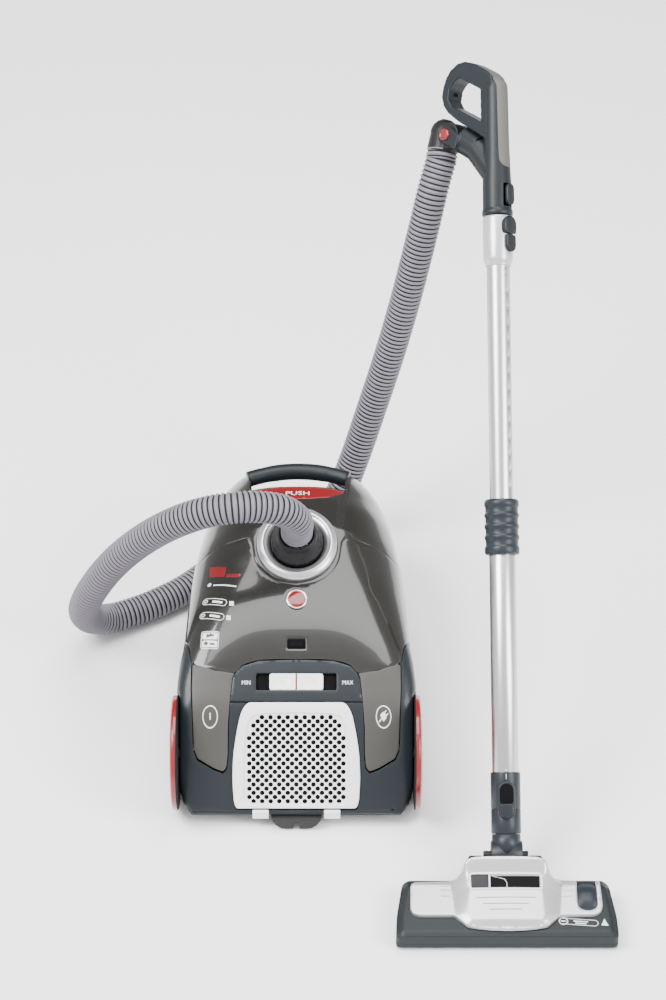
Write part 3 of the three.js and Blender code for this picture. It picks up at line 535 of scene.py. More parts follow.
LINE_B = [(0, 129.5), (46, 128), (66, 122.5), (75, 114.5), (101, 118), (126, 127.5), (133, 152), (142, 178),
          (150, 183.5)]
LINE_A = [(0, 217.5), (27, 223.5), (43.5, 236), (52.5, 251.5), (55, 266), (57.5, 277), (63, 281.5), (73, 281),
          (109, 280), (129.5, 282.0)]
PANEL_EDGE = [(0, 128.9), (46, 127.4), (66, 121.9), (74.8, 113.8), (78, 108.4), (80.9, 83.6), (0, 83.6)]
PEDAL_EDGE = [(75.8, 113.8), (78.6, 108.6), (81.6, 82), (83.8, 62), (84, 42), (85.8, 32.5), (90, 29.5),
              (101, 32), (121, 39.5), (125.8, 46.5), (128.6, 100), (128.4, 126), (125.8, 127.1), (101, 117.6)]
GRILLE_EDGE = [(0, 83), (60, 83), (68, 73.5), (73.6, 57), (77.3, 42.5), (78.4, 24), (76.7, 8), (73.6, 3),
               (0, 3)]
BUTTON_EDGE = [(0, 346), (16, 346), (40, 352), (56, 366), (60, 373), (0, 373)]
INLET = {"y": 270.0, "z": 224.0, "lean": 20.0, "radius": 50.5}


def smooth_line(points):
    """A smooth plan line through the points, with a point every 2.5 mm."""
    line, _ = spline([(*p, 0) for p in points], 2.5)
    return [(float(x), float(y)) for x, y, _ in line]


line_a = smooth_line(LINE_A)
line_b = smooth_line(LINE_B[:-1])
right_a = [(girth_at_x(x, y), y) for x, y in line_a]
right_b = [(girth_at_x(x, y), y) for x, y in line_b]
LID_HINGE = (118.0, 163.0)
LID_SWING = 164.0
# Below the hinge's height the lid's front seam is an arc about the hinge, so that the lid swings clear.
seam_low = []
for k in range(1, 20):
    seam_z = 160.5 - (160.5 - SPLIT_Z - 0.9) * k / 19
    seam_y = LID_HINGE[0] + math.sqrt(LID_SWING ** 2 - (LID_HINGE[1] - seam_z) ** 2)
    seam_low.append((girth_at_z(seam_z, seam_y), seam_y))
Y_A, Y_B = seam_low[-1][1], 183.0
side_rows = [Y_B + (Y_A - Y_B) * k / 30 for k in range(31)]
lid_right = [*right_b, *[(girth_at_z(SPLIT_Z + 0.9, y), y) for y in side_rows[1:-1]], *reversed(seam_low),
             *reversed(right_a)]
lid_outline = grown(spaced(mirror_plan(lid_right), 3.0), -0.7)
lid_window_hole = spaced(rounded([(-12, 140.5), (12, 140.5), (12, 153.5), (-12, 153.5)], 2.5), 2.5)


def ellipse(cx, cy, rx, ry, count):
    return [(cx + rx * math.cos(2 * math.pi * k / count), cy + ry * math.sin(2 * math.pi * k / count))
            for k in range(count)]


badge_hole = ellipse(0, 200, 13.6, 13.6, 40)
lid = shell_panel("bag_lid_skin", lid_outline, [plan_to_girth(lid_window_hole), plan_to_girth(badge_hole)],
                  COVER)
place(lid, "bag_lid", "glossy_cover", ["bag_lid"])

front_right = [*right_a, *seam_low, *[(girth_at_z(SPLIT_Z + 0.9, Y_A + (LENGTH - Y_A) * k / 52),
                                       Y_A + (LENGTH - Y_A) * k / 52) for k in range(1, 53)]]
RECESS = [(62, 455), (62, 380), (57, 375.5), (0, 375)]
recess_right = [(girth_at_x(x, y), y) for x, y in spaced(RECESS, 3.0, closed=False)]
front_right += recess_right
cover_outline = grown(spaced(mirror_plan(front_right), 3.2), -0.7)


def inlet_rim(radius):
    """Where a cylinder about the tilted inlet axis meets the body's top, in plan."""
    lean = math.radians(INLET["lean"])
    rim = []
    count = 96
    for k in range(count):
        angle = 2 * math.pi * k / count
        u, v = radius * math.cos(angle), radius * math.sin(angle)
        height = 0.0
        for _ in range(12):
            x, y = u, INLET["y"] + v * math.cos(lean) - height * math.sin(lean)
            z = surface(girth_at_x(x, y), y)[2]
            height = (z - INLET["z"] - v * math.sin(lean)) / math.cos(lean)
        rim.append((x, y))
    return rim


button_edge = rounded(mirror_plan([(0, 345.4), *BUTTON_EDGE[1:5], (0, 373.6)]), 3.0)
front_openings = [inlet_rim(51.6), spaced(grown(button_edge, 1.0), 3.0)]
front = shell_panel("front_cover_skin", cover_outline, [plan_to_girth(h) for h in front_openings], COVER)
place(front, "canister", "glossy_cover", ["front_cover"])

# The recess under the carrying handle, and the front faces that close the body.
recess_profile = [(375.2, 226.5), (375.3, 195), (377, 184), (383, 170.5), (389, 160.5), (394, 156),
                  (401, 153.8), (425, 150.5), (451, 147.5)]
profile, _ = spline([(y, z, 0) for y, z in recess_profile], 2.5)
vertices = []
columns = np.linspace(-62.6, 62.6, 33)
for y, z, _ in profile:
    for x in columns:
        corner = max(0.0, abs(x) - 56.0)
        lift = 7.0 - math.sqrt(max(0.0, 49 - min(corner, 6.9) ** 2))
        limit = surface(girth_at_x(x, y), y)[2] + 0.5
        vertices.append(at(x, y, min(z + lift, limit)))
faces = strip_faces(len(profile), len(columns), closed=False)
for side in (-1, 1):
    first = len(vertices)
    for y, z, _ in profile:
        top = surface(girth_at_x(62.5, y), y)[2]
        vertices += [at(side * 62.55, y, z - 1), at(side * 62.55, y, max(z, top - 0.6))]
    for k in range(len(profile) - 1):
        a = first + 2 * k
        faces.append((a, a + 1, a + 3, a + 2) if side > 0 else (a, a + 2, a + 3, a + 1))
recess = mesh_object("handle_recess", vertices, faces, COVER)
place(recess, "canister", "glossy_cover")


def front_cap(name, z_low, z_high, inset, m):
    """The blunt nose at the body's front between two heights, rounded at its rim."""
    girth, xs, zs = half_section(LENGTH)
    half = [(x, z) for x, z in zip(xs, zs) if z_low <= z <= z_high]
    half = [(float(np.interp(-z_high, -zs, xs)), z_high), *half, (float(np.interp(-z_low, -zs, xs)), z_low)]
    ring = [*half, *[(-x, z) for x, z in reversed(half)]]
    middle_z = (z_low + z_high) / 2
    vertices = []
    faces = []
    count = len(ring)
    levels = [(1.0, 0.0), (0.985, 1.3), (0.955, 2.6), (0.9, 3.6), (0.8, 4.2), (0.4, 4.4)]
    for scale, out in levels:
        vertices += [at(x * scale, LENGTH + out - inset, middle_z + (z - middle_z) * (0.5 + scale / 2))
                     for x, z in ring]
    for k in range(len(levels) - 1):
        for i in range(count):
            j = (i + 1) % count
            faces.append((k * count + i, (k + 1) * count + i, (k + 1) * count + j, k * count + j))
    faces.append(tuple(reversed(range((len(levels) - 1) * count, len(levels) * count))))
    slot_name = "glossy_cover" if m == COVER else "base_plastic"
    return place(mesh_object(name, vertices, faces, m), "canister", slot_name)


front_cap("nose_cover", SPLIT_Z + 0.5, 148.0, 4.4, COVER)
front_cap("nose_base", FLOOR_CLEARANCE + 0.3, SPLIT_Z - 0.3, 4.4, BASE)

# ---- base tub --------------------------------------------------------------------------------

# A liner gives the underside, wells and inside; a smooth skin covers what shows from above.
liner = bpy.data.objects.new("base_liner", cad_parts["base_shell"].data.copy())
bpy.context.scene.collection.objects.link(liner)
liner.data.materials.clear()
liner.data.materials.append(BASE)
shape = bmesh.new()
shape.from_mesh(liner.data)
bmesh.ops.remove_doubles(shape, verts=shape.verts, dist=1e-5)
shape.normal_update()
for vertex in shape.verts:
    if vertex.co.z > 0.024 and vertex.normal.z > -0.5:
        flat = Vector((vertex.normal.x, vertex.normal.y, vertex.normal.z)).normalized()
        vertex.co -= flat * 0.0011
shape.to_mesh(liner.data)
shape.free()
liner.data.polygons.foreach_set("use_smooth", [False] * len(liner.data.polygons))
place(liner, "canister", "base_plastic", ["base_shell"])

OPENINGS = [(0, 2.2), (74.0, 2.2), (77.5, 7.6), (79.2, 24), (78.1, 42.8), (74.4, 57.4), (68.6, 74.1),
            (60.5, 82.7), (81.0, 82.7), (82.8, 62), (83.0, 42), (84.8, 31.9), (89.8, 28.5), (101.3, 31.0),
            (121.7, 38.6), (126.8, 46.2), (129.6, 100), (129.6, 126.0), (133.8, 152), (142.6, 178)]
openings_right = [(girth_at_x(x, max(y, 0.2)), max(y, 0.2)) for x, y in spaced(OPENINGS, 2.5, closed=False)]
openings_right += [(girth_at_z(SPLIT_Z - 0.4, Y_B + (LENGTH - Y_B) * k / 60), Y_B + (LENGTH - Y_B) * k / 60)
                   for k in range(1, 61)]
bottom_right = [(float(half_section(y)[0][-2]) - 0.4, y) for y in np.linspace(LENGTH, 0.25, 110)]
skin_right = [*openings_right, *bottom_right]
base_outline = mirror_plan(skin_right)
base_outline = [p for i, p in enumerate(base_outline)
                if math.dist(p, base_outline[i - 1]) > 0.05]
WHEEL = {"x": 144.8, "y": 57.0, "r": 71.0}


def base_shape(s, y):
    """The base skin, dished where a wheel sits in its side."""
    p, n = surface(s, y), normal(s, y)
    if math.hypot(p[1] - WHEEL["y"], p[2] - WHEEL["r"]) < WHEEL["r"] + 1.5 and abs(p[0]) > WHEEL["x"] - 1.2:
        p = np.array([math.copysign(WHEEL["x"] - 1.2, p[0]), p[1], p[2]])
        n = np.array([math.copysign(1, p[0]), 0, 0])
    return p, n


base = shell_panel("base_skin", grown(base_outline, -0.35), [], BASE, depth=1.6, edge=0.4, step=4.2,
                   back=False, shape=base_shape)
place(base, "canister", "base_plastic")

# ---- rear controls ---------------------------------------------------------------------------

panel_outline = spaced(rounded(mirror_plan([(0, 128.9), *PANEL_EDGE[1:6], (0, 83.6)]), 1.2), 2.5)
SLOT = [(-50, 95), (50, 95), (50, 114), (-50, 114)]
slot_outline = spaced(rounded(SLOT, 3.0), 2.5)
panel = shell_panel("control_panel_skin", plan_to_girth(grown(panel_outline, -0.5)),
                    [plan_to_girth(slot_outline)], PANEL, depth=6.0, edge=0.5, step=3.4)
place(panel, "canister", "panel_plastic", ["control_panel"])
# Painted shade: the slot's floor is near-black to stand for the shade down in the slot.
slot_floor = shell_panel("slider_slot_floor", plan_to_girth(spaced(SLOT, 3.0)), [], DARK, lift=-5.2,
                         depth=1.0, edge=0.5, back=False)
place(slot_floor, "canister", "panel_plastic")


def dip(cx, cy, rx, ry, deep):
    """A rounded finger hollow as a height change."""
    def change(x, y):
        r = math.sqrt(((x - cx) / rx) ** 4 + ((y - cy) / ry) ** 4)
        return 0.0 if r >= 1 else -deep * (1 - r) ** 0.6 if r > 0.0 else -deep
    return change


SLIDER = [(-33, 95.6), (33, 95.6), (33, 113.4), (-33, 113.4)]
dips = [dip(-18.5, 104.5, 10.5, 6.4, 1.5), dip(18.5, 104.5, 10.5, 6.4, 1.5)]
slider_outline = spaced(rounded(grown(SLIDER, -0.7), 2.6), 1.6)
slider = shell_panel("power_slider_skin", plan_to_girth(slider_outline), [], WHITE, lift=0.9, depth=5.5,
                     edge=0.7, step=1.5, bulge=lambda s, y: sum(d(surface(s, y)[0], y) for d in dips))
place(slider, "slider", "white_plastic", ["power_slider"])


def decal(name, outline, m, body, slot_name, lift, holes=(), step=2.5):
    """A thin printed or inlaid mark that follows the body surface; outline and holes are in plan."""
    hole_rims = [plan_to_girth(spaced(h, step)) for h in holes]
    made = shell_panel(name, plan_to_girth(spaced(outline, step)), hole_rims, m, lift=lift, depth=0.25,
                       edge=0.06, step=step, back=False)
    return place(made, body, slot_name)


decal("slider_pointer", [(-1.0, 95.9), (1.0, 95.9), (1.0, 113.1), (-1.0, 113.1)], RED, "slider",
      "red_plastic", 0.98)


def turned(outline, x, y, turn):
    """An outline turned about its origin and moved to (x, y)."""
    c, s = math.cos(turn), math.sin(turn)
    return [(x + (c * a - s * b), y + (s * a + c * b)) for a, b in outline]


def letter_shapes(text, x, y, height):
    """A generic word's flat mesh in plan, as points and faces."""
    curve = bpy.data.curves.new("letters", "FONT")
    curve.body = text
    curve.size = height / 0.72
    curve.align_x = "CENTER"
    curve.resolution_u = 3
    item = bpy.data.objects.new("letters", curve)
    bpy.context.scene.collection.objects.link(item)
    bpy.context.view_layer.update()
    data = item.to_mesh()
    points = [(v.co.x + x, v.co.y + y) for v in data.vertices]
    faces = [list(p.vertices) for p in data.polygons]
    item.to_mesh_clear()
    bpy.data.objects.remove(item)
    return points, faces


def word(name, text, x, y, height, m, body, slot_name, lift):
    """A generic word printed on the body surface."""
    points, faces = letter_shapes(text, x, y, height)
    vertices = []
    for px, py in points:
        s = girth_at_x(px, py)
        vertices.append(at(*(surface(s, py) + normal(s, py) * lift)))
    made = mesh_object(name, vertices, faces, m, smooth=False)
    if any(f.normal.z < 0 for f in made.data.polygons):
        made.data.flip_normals()
    return place(made, body, slot_name)


for name, text, x in (("mark_low", "MIN", -61.5), ("mark_high", "MAX", 63)):
    word(name, text, x, 101.5, 4.6, MARK, "canister", "panel_plastic", 0.12)

for side, name in ((-1, "power_pedal"), (1, "rewind_pedal")):
    edge = spaced(grown(rounded([(side * x, y) for x, y in PEDAL_EDGE], 2.0), -0.8), 2.2)
    pedal = shell_panel(f"{name}_skin", plan_to_girth(edge), [], PEDAL, lift=0.1, depth=5.0, edge=0.8,
                        step=3.4)
    place(pedal, name, "pedal_plastic", [name])


def ring_marks(name, cx, cy, radius, width, body):
    """A printed ring."""
    outer, inner = (ellipse(cx, cy, r, r, 40) for r in (radius, radius - width))
    return decal(name, outer, MARK, body, "pedal_plastic", 0.16, holes=[inner], step=1.6)


def bar_mark(name, x0, y0, x1, y1, width, body):
    """A printed straight bar between two plan points."""
    a, b = np.array((x0, y0)), np.array((x1, y1))
    across = np.array((-(b - a)[1], (b - a)[0])) / np.linalg.norm(b - a) * width / 2
    corners = [tuple(a - across), tuple(b - across), tuple(b + across), tuple(a + across)]
    return decal(name, corners, MARK, body, "pedal_plastic", 0.16, step=1.6)


ring_marks("power_icon_ring", -105.5, 71, 9.4, 1.0, "power_pedal")
bar_mark("power_icon_bar", -105.5, 68.2, -105.5, 73.8, 1.3, "power_pedal")
ring_marks("rewind_icon_ring", 107, 71, 9.4, 1.0, "rewind_pedal")
bar_mark("rewind_icon_flex", 101.4, 66.4, 105.0, 69.4, 1.1, "rewind_pedal")
PLUG_X, PLUG_Y, PLUG_TURN = 107.2, 71.2, math.radians(40)
plug = turned([(-3, -3.2), (1.6, -3.2), (2.8, -1.6), (2.8, 1.6), (1.6, 3.2), (-3, 3.2)], PLUG_X, PLUG_Y,
              PLUG_TURN)
decal("rewind_icon_plug", plug, MARK, "rewind_pedal", "pedal_plastic", 0.16, step=1.6)
for k, reach in enumerate((-1.7, 1.7)):
    (x0, y0), (x1, y1) = turned([(2.6, reach), (5.6, reach)], PLUG_X, PLUG_Y, PLUG_TURN)
    bar_mark(f"rewind_icon_pin_{k}", x0, y0, x1, y1, 0.9, "rewind_pedal")

# ---- exhaust grille --------------------------------------------------------------------------

grille_outer = spaced(grown(rounded(mirror_plan(GRILLE_EDGE), 5.0), -1.0), 2.2)
FIELD = [(0, 74.5), (40, 73.6), (55, 71.5), (60, 66), (64, 50), (66, 30), (65.5, 9.4), (62, 6.6), (0, 5.2)]
field = spaced(rounded(mirror_plan(FIELD), 4.0), 2.2)
grille_frame = shell_panel("grille_frame", plan_to_girth(grille_outer), [plan_to_girth(field)], WHITE,
                           lift=2.0, depth=6.0, edge=1.1, step=3.0)
place(grille_frame, "grille", "white_plastic", ["exhaust_grille"])
HOLE_PITCH = 10.5
HOLE_RADIUS = 3.3
holes = []
row_y, row = 8.4, 0
while row_y < 71:
    slope = (lookup(TOP, row_y + 0.5) - lookup(TOP, row_y - 0.5))
    squash = 1 / math.sqrt(1 + slope * slope)
    for k in range(-7, 8):
        x = (k + (0.5 if row % 2 else 0.0)) * HOLE_PITCH
        if abs(x) < 61.5 and inside([(abs(x) + 3.4, row_y), (abs(x) + 3.4, row_y + 2.2), (x, row_y + 2.4)],
                                    field).all():
            holes.append([(girth_at_x(x, row_y) + HOLE_RADIUS * math.cos(a),
                           row_y + HOLE_RADIUS * squash * math.sin(a))
                          for a in (2 * math.pi * i / 12 for i in range(12))])
    row_y += HOLE_PITCH / 2 * squash
    row += 1
face = shell_panel("grille_face", plan_to_girth(grown(field, 0.5)), holes, WHITE, lift=-0.1, depth=0.9,
                   edge=0.25, step=4.2)
place(face, "grille", "white_plastic")
# Painted shade: a near-black sheet behind the grille's holes stands for the shade inside them.
grille_shade = shell_panel("grille_shade_sheet", plan_to_girth(grown(field, 1.2)), [], DARK, lift=-1.5, depth=0.8,
                      edge=0.4, step=6.0)
place(grille_shade, "grille", "white_plastic")


def settle(shape, matrix):
    """Moves a working mesh, in machine millimetres, to its place in the row frame."""
    for vertex in shape.verts:
        vertex.co = at(*(matrix @ vertex.co))


def finished(name, shape, m):
    """Turns a working mesh into a smooth object."""
    data = bpy.data.meshes.new(name)
    shape.to_mesh(data)
    shape.free()
    data.materials.append(m)
    data.polygons.foreach_set("use_smooth", [True] * len(data.polygons))
    made = bpy.data.objects.new(name, data)
    bpy.context.scene.collection.objects.link(made)
    return made


def block(name, low, high, m, bevel=1.0, turn=Matrix.Identity(4)):
    """A rounded box between two machine corners."""
    shape = bmesh.new()
    bmesh.ops.create_cube(shape, size=1.0)
    low, high = Vector(low), Vector(high)
    for vertex in shape.verts:
        vertex.co = Vector((low[i] + (vertex.co[i] + 0.5) * (high[i] - low[i]) for i in range(3)))
    if bevel:
        bmesh.ops.bevel(shape, geom=list(shape.edges), offset=bevel, segments=3, affect="EDGES", profile=0.5)
    settle(shape, turn)
    return finished(name, shape, m)


def lathe(name, profile, m, matrix, segments=64):
    """A profile of (radius, height) turned about Z and placed by a machine-frame matrix, with open ends."""
    vertices = []
    for r, z in profile:
        for i in range(segments):
            angle = 2 * math.pi * i / segments
            vertices.append(at(*(matrix @ Vector((r * math.cos(angle), r * math.sin(angle), z)))))
    return mesh_object(name, vertices, strip_faces(len(profile), segments), m)


def sharp(made, degrees=35):
    """Keeps hard edges hard on a smooth-shaded piece."""
    made.data.set_sharp_from_angle(angle=math.radians(degrees))
    return made


for side in (-1, 1):
    tab = block(f"grille_tab_{side + 1}", (side * 44 - 10, -1.2, 14), (side * 44 + 10, 3.0, 27), WHITE, 0.9)
    place(tab, "grille", "white_plastic")


def extruded(name, outline, low, high, m, matrix, bevel=0.8):
    """A flat outline raised from low to high with rounded rims, placed by a machine-frame matrix."""
    shape = bmesh.new()
    bottom = [shape.verts.new((x, y, low)) for x, y in outline]
    top = [shape.verts.new((x, y, high)) for x, y in outline]
    count = len(outline)
    shape.faces.new(list(reversed(bottom)))
    shape.faces.new(top)
    for i in range(count):
        j = (i + 1) % count
        shape.faces.new((bottom[i], bottom[j], top[j], top[i]))
    bmesh.ops.recalc_face_normals(shape, faces=shape.faces)
    rims = [e for e in shape.edges if abs(e.verts[0].co.z - e.verts[1].co.z) < 1e-9]
    if bevel:
        bmesh.ops.bevel(shape, geom=rims, offset=bevel, segments=3, affect="EDGES", profile=0.5,
                        clamp_overlap=True)
    settle(shape, matrix)
    bmesh.ops.recalc_face_normals(shape, faces=shape.faces)
    return sharp(finished(name, shape, m), 38)


# Outline in X-Z, standing at the machine's rear: local (x, z, thickness) goes to (x, -y, z).
REARWARD = Matrix(((1, 0, 0, 0), (0, 0, -1, 0), (0, 1, 0, 0), (0, 0, 0, 1)))
CLIP = [(-31, 19.4), (-29, 15), (-25, 8), (-19, 3.2), (-12, 2.1), (-4.2, 2.1), (-3.6, 2.7), (-3.6, 14),
        (3.6, 14), (3.6, 2.7), (4.2, 2.1), (12, 2.1), (19, 3.2), (25, 8), (29, 15), (31, 19.4)]
clip = extruded("parking_clip_skin", CLIP, -1.9, 6.9, BLACK, REARWARD, bevel=0.6)
place(clip, "canister", "black_plastic", ["parking_clip"])

# ---- release button, badge and window --------------------------------------------------------

lens = shell_panel("release_lens", plan_to_girth(spaced(grown(button_edge, -0.9), 2.5)), [], RED_LENS,
                   lift=0.5, depth=6.0, edge=0.8, step=3.0)
place(lens, "release", "red_plastic", ["release_button"])
word("release_word", "PUSH", 0, 353.8, 9.6, MARK, "release", "red_plastic", 0.75)


def on_surface(x, y):
    """A frame standing on the body: Z out of the surface, Y towards the front."""
    s = girth_at_x(x, y)
    p, n = Vector(surface(s, y)), Vector(normal(s, y))
    ahead = (Vector((0, 1, 0)) - n * n.y).normalized()
    across = ahead.cross(n)
    return Matrix(((across.x, ahead.x, n.x, p.x), (across.y, ahead.y, n.y, p.y),
                   (across.z, ahead.z, n.z, p.z), (0, 0, 0, 1)))


badge_frame = on_surface(0, 200)
badge = lathe("badge_rim", [(13.0, -3.0), (13.0, 0.3), (12.6, 0.9), (11.9, 1.1), (11.2, 0.9), (10.8, 0.2),
                            (10.6, -0.4)], CHROME, badge_frame)
place(badge, "bag_lid", "badge_chrome", ["lid_badge"])
dome = [(10.9 * math.cos(t), 0.9 * math.sin(t)) for t in (math.pi / 2 * k / 8 for k in range(9))]
badge_face = lathe("badge_face", [(r, z - 0.2) for r, z in dome], RED_LENS, badge_frame)
place(badge_face, "bag_lid", "badge_chrome")
window = shell_panel("lid_window_skin", plan_to_girth(grown(lid_window_hole, -0.8)), [], SMOKE, lift=-0.7,
                     depth=3.0, edge=0.4, step=3.0)
place(window, "bag_lid", "smoke_lens", ["lid_window"])
window_bar = shell_panel("lid_window_bar", plan_to_girth(spaced(rounded([(-8, 144.6), (8, 144.6),
                                                                         (8, 149.4), (-8, 149.4)], 2.0),
                                                                2.0)), [], DARK, lift=-0.45, depth=0.6,
                         edge=0.2, back=False)
place(window_bar, "bag_lid", "smoke_lens")

# ---- inlet -----------------------------------------------------------------------------------

lean = math.radians(INLET["lean"])
INLET_FRAME = Matrix(((1, 0, 0, 0), (0, math.cos(lean), -math.sin(lean), INLET["y"]),
                      (0, math.sin(lean), math.cos(lean), INLET["z"]), (0, 0, 0, 1)))
RING_PROFILE = [(50.6, -6), (50.8, 0.5), (50.2, 2.4), (48.9, 4.0), (46.6, 5.7), (44.0, 6.8), (42.6, 7.0),
                (41.9, 6.6), (41.4, 5.7), (40.9, 5.4), (39.0, 4.9), (37.2, 3.7), (35.6, 2.2), (34.4, 0.2),
                (33.4, -2.6), (33.2, -6)]
ring_piece = lathe("inlet_ring_skin", RING_PROFILE, SILVER, INLET_FRAME, segments=96)
place(ring_piece, "canister", "silver_plastic", ["inlet_ring"])
CUFF_PROFILE = [(23.2, -26), (28.4, -26), (28.4, -2), (32.0, -1.6), (32.3, 0.4), (32.3, 7.6), (31.6, 8.8),
                (29.6, 10.2), (28.6, 11.6), (28.4, 13.0), (27.6, 13.4), (27.4, 14.8), (26.8, 15.2),
                (26.6, 16.8), (26.0, 17.2), (25.8, 18.8), (25.3, 19.2), (25.0, 28.6), (24.4, 30.2),
                (22.0, 30.4), (21.0, 29.0)]
cuff = lathe("hose_cuff_skin", CUFF_PROFILE, BLACK, INLET_FRAME)
place(cuff, "cuff", "black_plastic", ["hose_cuff"])
for k in range(16):
    turn = Matrix.Rotation(2 * math.pi * k / 16, 4, "Z")
    rib = block(f"cuff_rib_{k}", (31.2, -1.3, 0.8), (33.0, 1.3, 7.2), BLACK, 0.5, turn=INLET_FRAME @ turn)
    place(rib, "cuff", "black_plastic")

# ---- carrying handle -------------------------------------------------------------------------

arc = []
for k in range(57):
    x = -64 + 128 * k / 56
    arc.append(at(x, 430 - 12 * (x / 62) ** 2, 200.5 + 2 * (1 - (x / 62) ** 2)))
handle_bar = tube("carry_handle_skin", arc, [0.0102] * len(arc), 36, HANDLE)
place(handle_bar, "canister", "handle_plastic", ["carry_handle"])
grip_pad = tube("carry_handle_sleeve", arc[9:-9], [0.0106 - 0.0008 * (abs(k - 19) / 19) ** 8
                                                   for k in range(len(arc[9:-9]))], 36, HANDLE)
place(grip_pad, "canister", "handle_plastic")

# ---- wheels ----------------------------------------------------------------------------------

for side, label in ((-1, "left"), (1, "right")):
    face_out = Matrix(((0, 0, side, side * WHEEL["x"]), (1, 0, 0, WHEEL["y"]), (0, side, 0, WHEEL["r"]),
                       (0, 0, 0, 1)))
    tyre = lathe(f"wheel_{label}_tyre", [(0.5, 0.1), (67, 0.1), (69.6, 0.2), (70.3, 0.6), (70.4, 1.6)],
                 RUBBER, face_out, segments=128)
    place(sharp(tyre), f"wheel_{label}", "tread_rubber", [f"wheel_{label}"])
    cap = lathe(f"wheel_{label}_cap", [(70.3, 1.3), (70.9, 1.5), (71, 2.0), (71, 4.8), (70.6, 6.0),
                                       (69.4, 7.2), (67.0, 8.0), (64.5, 8.4), (62.4, 8.3), (61.2, 7.7),
                                       (60.0, 7.6), (58.8, 8.4), (52, 9.3), (40, 9.9), (22, 10.0),
                                       (20.6, 9.4), (18.8, 9.4), (17.6, 9.9), (8, 10.0), (0.2, 10.0)], RED,
                face_out, segments=128)
    place(sharp(cap, 50), f"wheel_{label}", "red_plastic", [f"wheel_cap_{label}"])

# ---- pieces made from a CAD node by rounding its edges ---------------------------------------


def softened(node, m, body, slot_name, bevel=0.0, voxel=0.0, relax=0, name=None):
    """A copy of a CAD node with rounded edges: by bevels, or by fine voxels relaxed into soft fillets."""
    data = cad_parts[node].data.copy()
    data.materials.clear()
    made = bpy.data.objects.new(name or f"{node}_skin", data)
    bpy.context.scene.collection.objects.link(made)
    shape = bmesh.new()
    shape.from_mesh(data)
    bmesh.ops.remove_doubles(shape, verts=shape.verts, dist=2e-5)
    if bevel:
        bmesh.ops.dissolve_limit(shape, angle_limit=math.radians(1.0), verts=shape.verts, edges=shape.edges)
    shape.to_mesh(data)
    shape.free()
    if voxel:
        remesh = made.modifiers.new("voxels", "REMESH")
        remesh.mode = "VOXEL"
        remesh.voxel_size = voxel * MM
        relaxed = made.modifiers.new("relaxed", "SMOOTH")
        relaxed.factor = 0.5
        relaxed.iterations = relax
    if bevel:
        rim = made.modifiers.new("rims", "BEVEL")
        rim.width = bevel * MM
        rim.segments = 3
        rim.limit_method = "ANGLE"
        rim.angle_limit = math.radians(35)
        rim.harden_normals = False
    bpy.context.view_layer.update()
    depsgraph = bpy.context.evaluated_depsgraph_get()
    final = bpy.data.meshes.new_from_object(made.evaluated_get(depsgraph))
    made.modifiers.clear()
    made.data = final
    final.materials.clear()
    final.materials.append(m)
    final.polygons.foreach_set("use_smooth", [True] * len(final.polygons))
    if bevel:
        final.set_sharp_from_angle(angle=math.radians(32))
    return place(made, body, slot_name, [node])


# ---- wand ------------------------------------------------------------------------------------

NECK_POINT = (253.5, -88.9, 48.0)
WAND = (Matrix.Translation(NECK_POINT) @ Matrix.Rotation(math.radians(-48), 4, "X")
        @ Matrix.Rotation(math.radians(-0.48), 4, "Y"))
UPPER = WAND @ Matrix.Rotation(math.radians(-42), 4, "Z")
# Facing frames: outline x runs across, outline y runs up the tube, height points away from it.
FRONT_FACE = WAND @ Matrix(((1, 0, 0, 0), (0, 0, -1, 0), (0, 1, 0, 0), (0, 0, 0, 1)))
LATCH_FACE = UPPER @ Matrix(((0, 0, 1, 0), (1, 0, 0, 0), (0, 1, 0, 0), (0, 0, 0, 1)))

lower = lathe("lower_tube_skin", [(14.8, 60), (14.8, 58.2), (15.8, 58), (16, 58.4), (16, 375.6),
                                  (15.8, 376), (14.8, 376)], ALUMINIUM, WAND, segments=96)
place(sharp(lower), "wand_lower", "tube_aluminium", ["lower_tube"])

# The upper tube, with a row of stop notches along the side that faces the latch.
NOTCH_PITCH, NOTCH_COUNT, NOTCH_START = 20.0, 13, 440.0
NOTCH_LENGTH, NOTCH_HALF_WIDTH, NOTCH_DEPTH = 7.0, 2.9, 0.9
UPPER_RADIUS = 14.3
AROUND = 120
levels = [340.0, 341.0]
for k in range(NOTCH_COUNT):
    z = NOTCH_START + NOTCH_PITCH * k
    levels += [z - 0.3, z, z + 1.2, z + 5.8, z + 7.0, z + 7.3]
levels += [735.0, 742.0]
notch_end = NOTCH_START + (NOTCH_COUNT - 1) * NOTCH_PITCH + NOTCH_LENGTH
vertices = []
for z in levels:
    for i in range(AROUND):
        angle = 2 * math.pi * i / AROUND
        r = UPPER_RADIUS
        across = abs(math.atan2(math.sin(angle), math.cos(angle))) * UPPER_RADIUS
        step = (z - NOTCH_START) % NOTCH_PITCH
        in_row = NOTCH_START <= z <= notch_end and 0 <= step <= NOTCH_LENGTH
        if in_row and across < NOTCH_HALF_WIDTH:
            slant = min(1.0, (NOTCH_HALF_WIDTH - across) / 0.8)
            r -= NOTCH_DEPTH * slant * (1.0 if 0.5 < step < 6.5 else 0.25)
        vertices.append(at(*(UPPER @ Vector((r * math.cos(angle), r * math.sin(angle), z)))))
upper = mesh_object("upper_tube_skin", vertices, strip_faces(len(levels), AROUND), ALUMINIUM)
place(upper, "handle", "tube_aluminium", ["upper_tube"])
for k, t in enumerate((712.0, 704.0)):
    dot = lathe(f"tube_dot_{k}", [(0.9, 0.0), (0.9, 0.12), (0.1, 0.14)], DARK,
                LATCH_FACE @ Matrix.Translation((-3.0 + k * 0.2, t, 14.02)), segments=20)
    place(dot, "handle", "tube_aluminium")

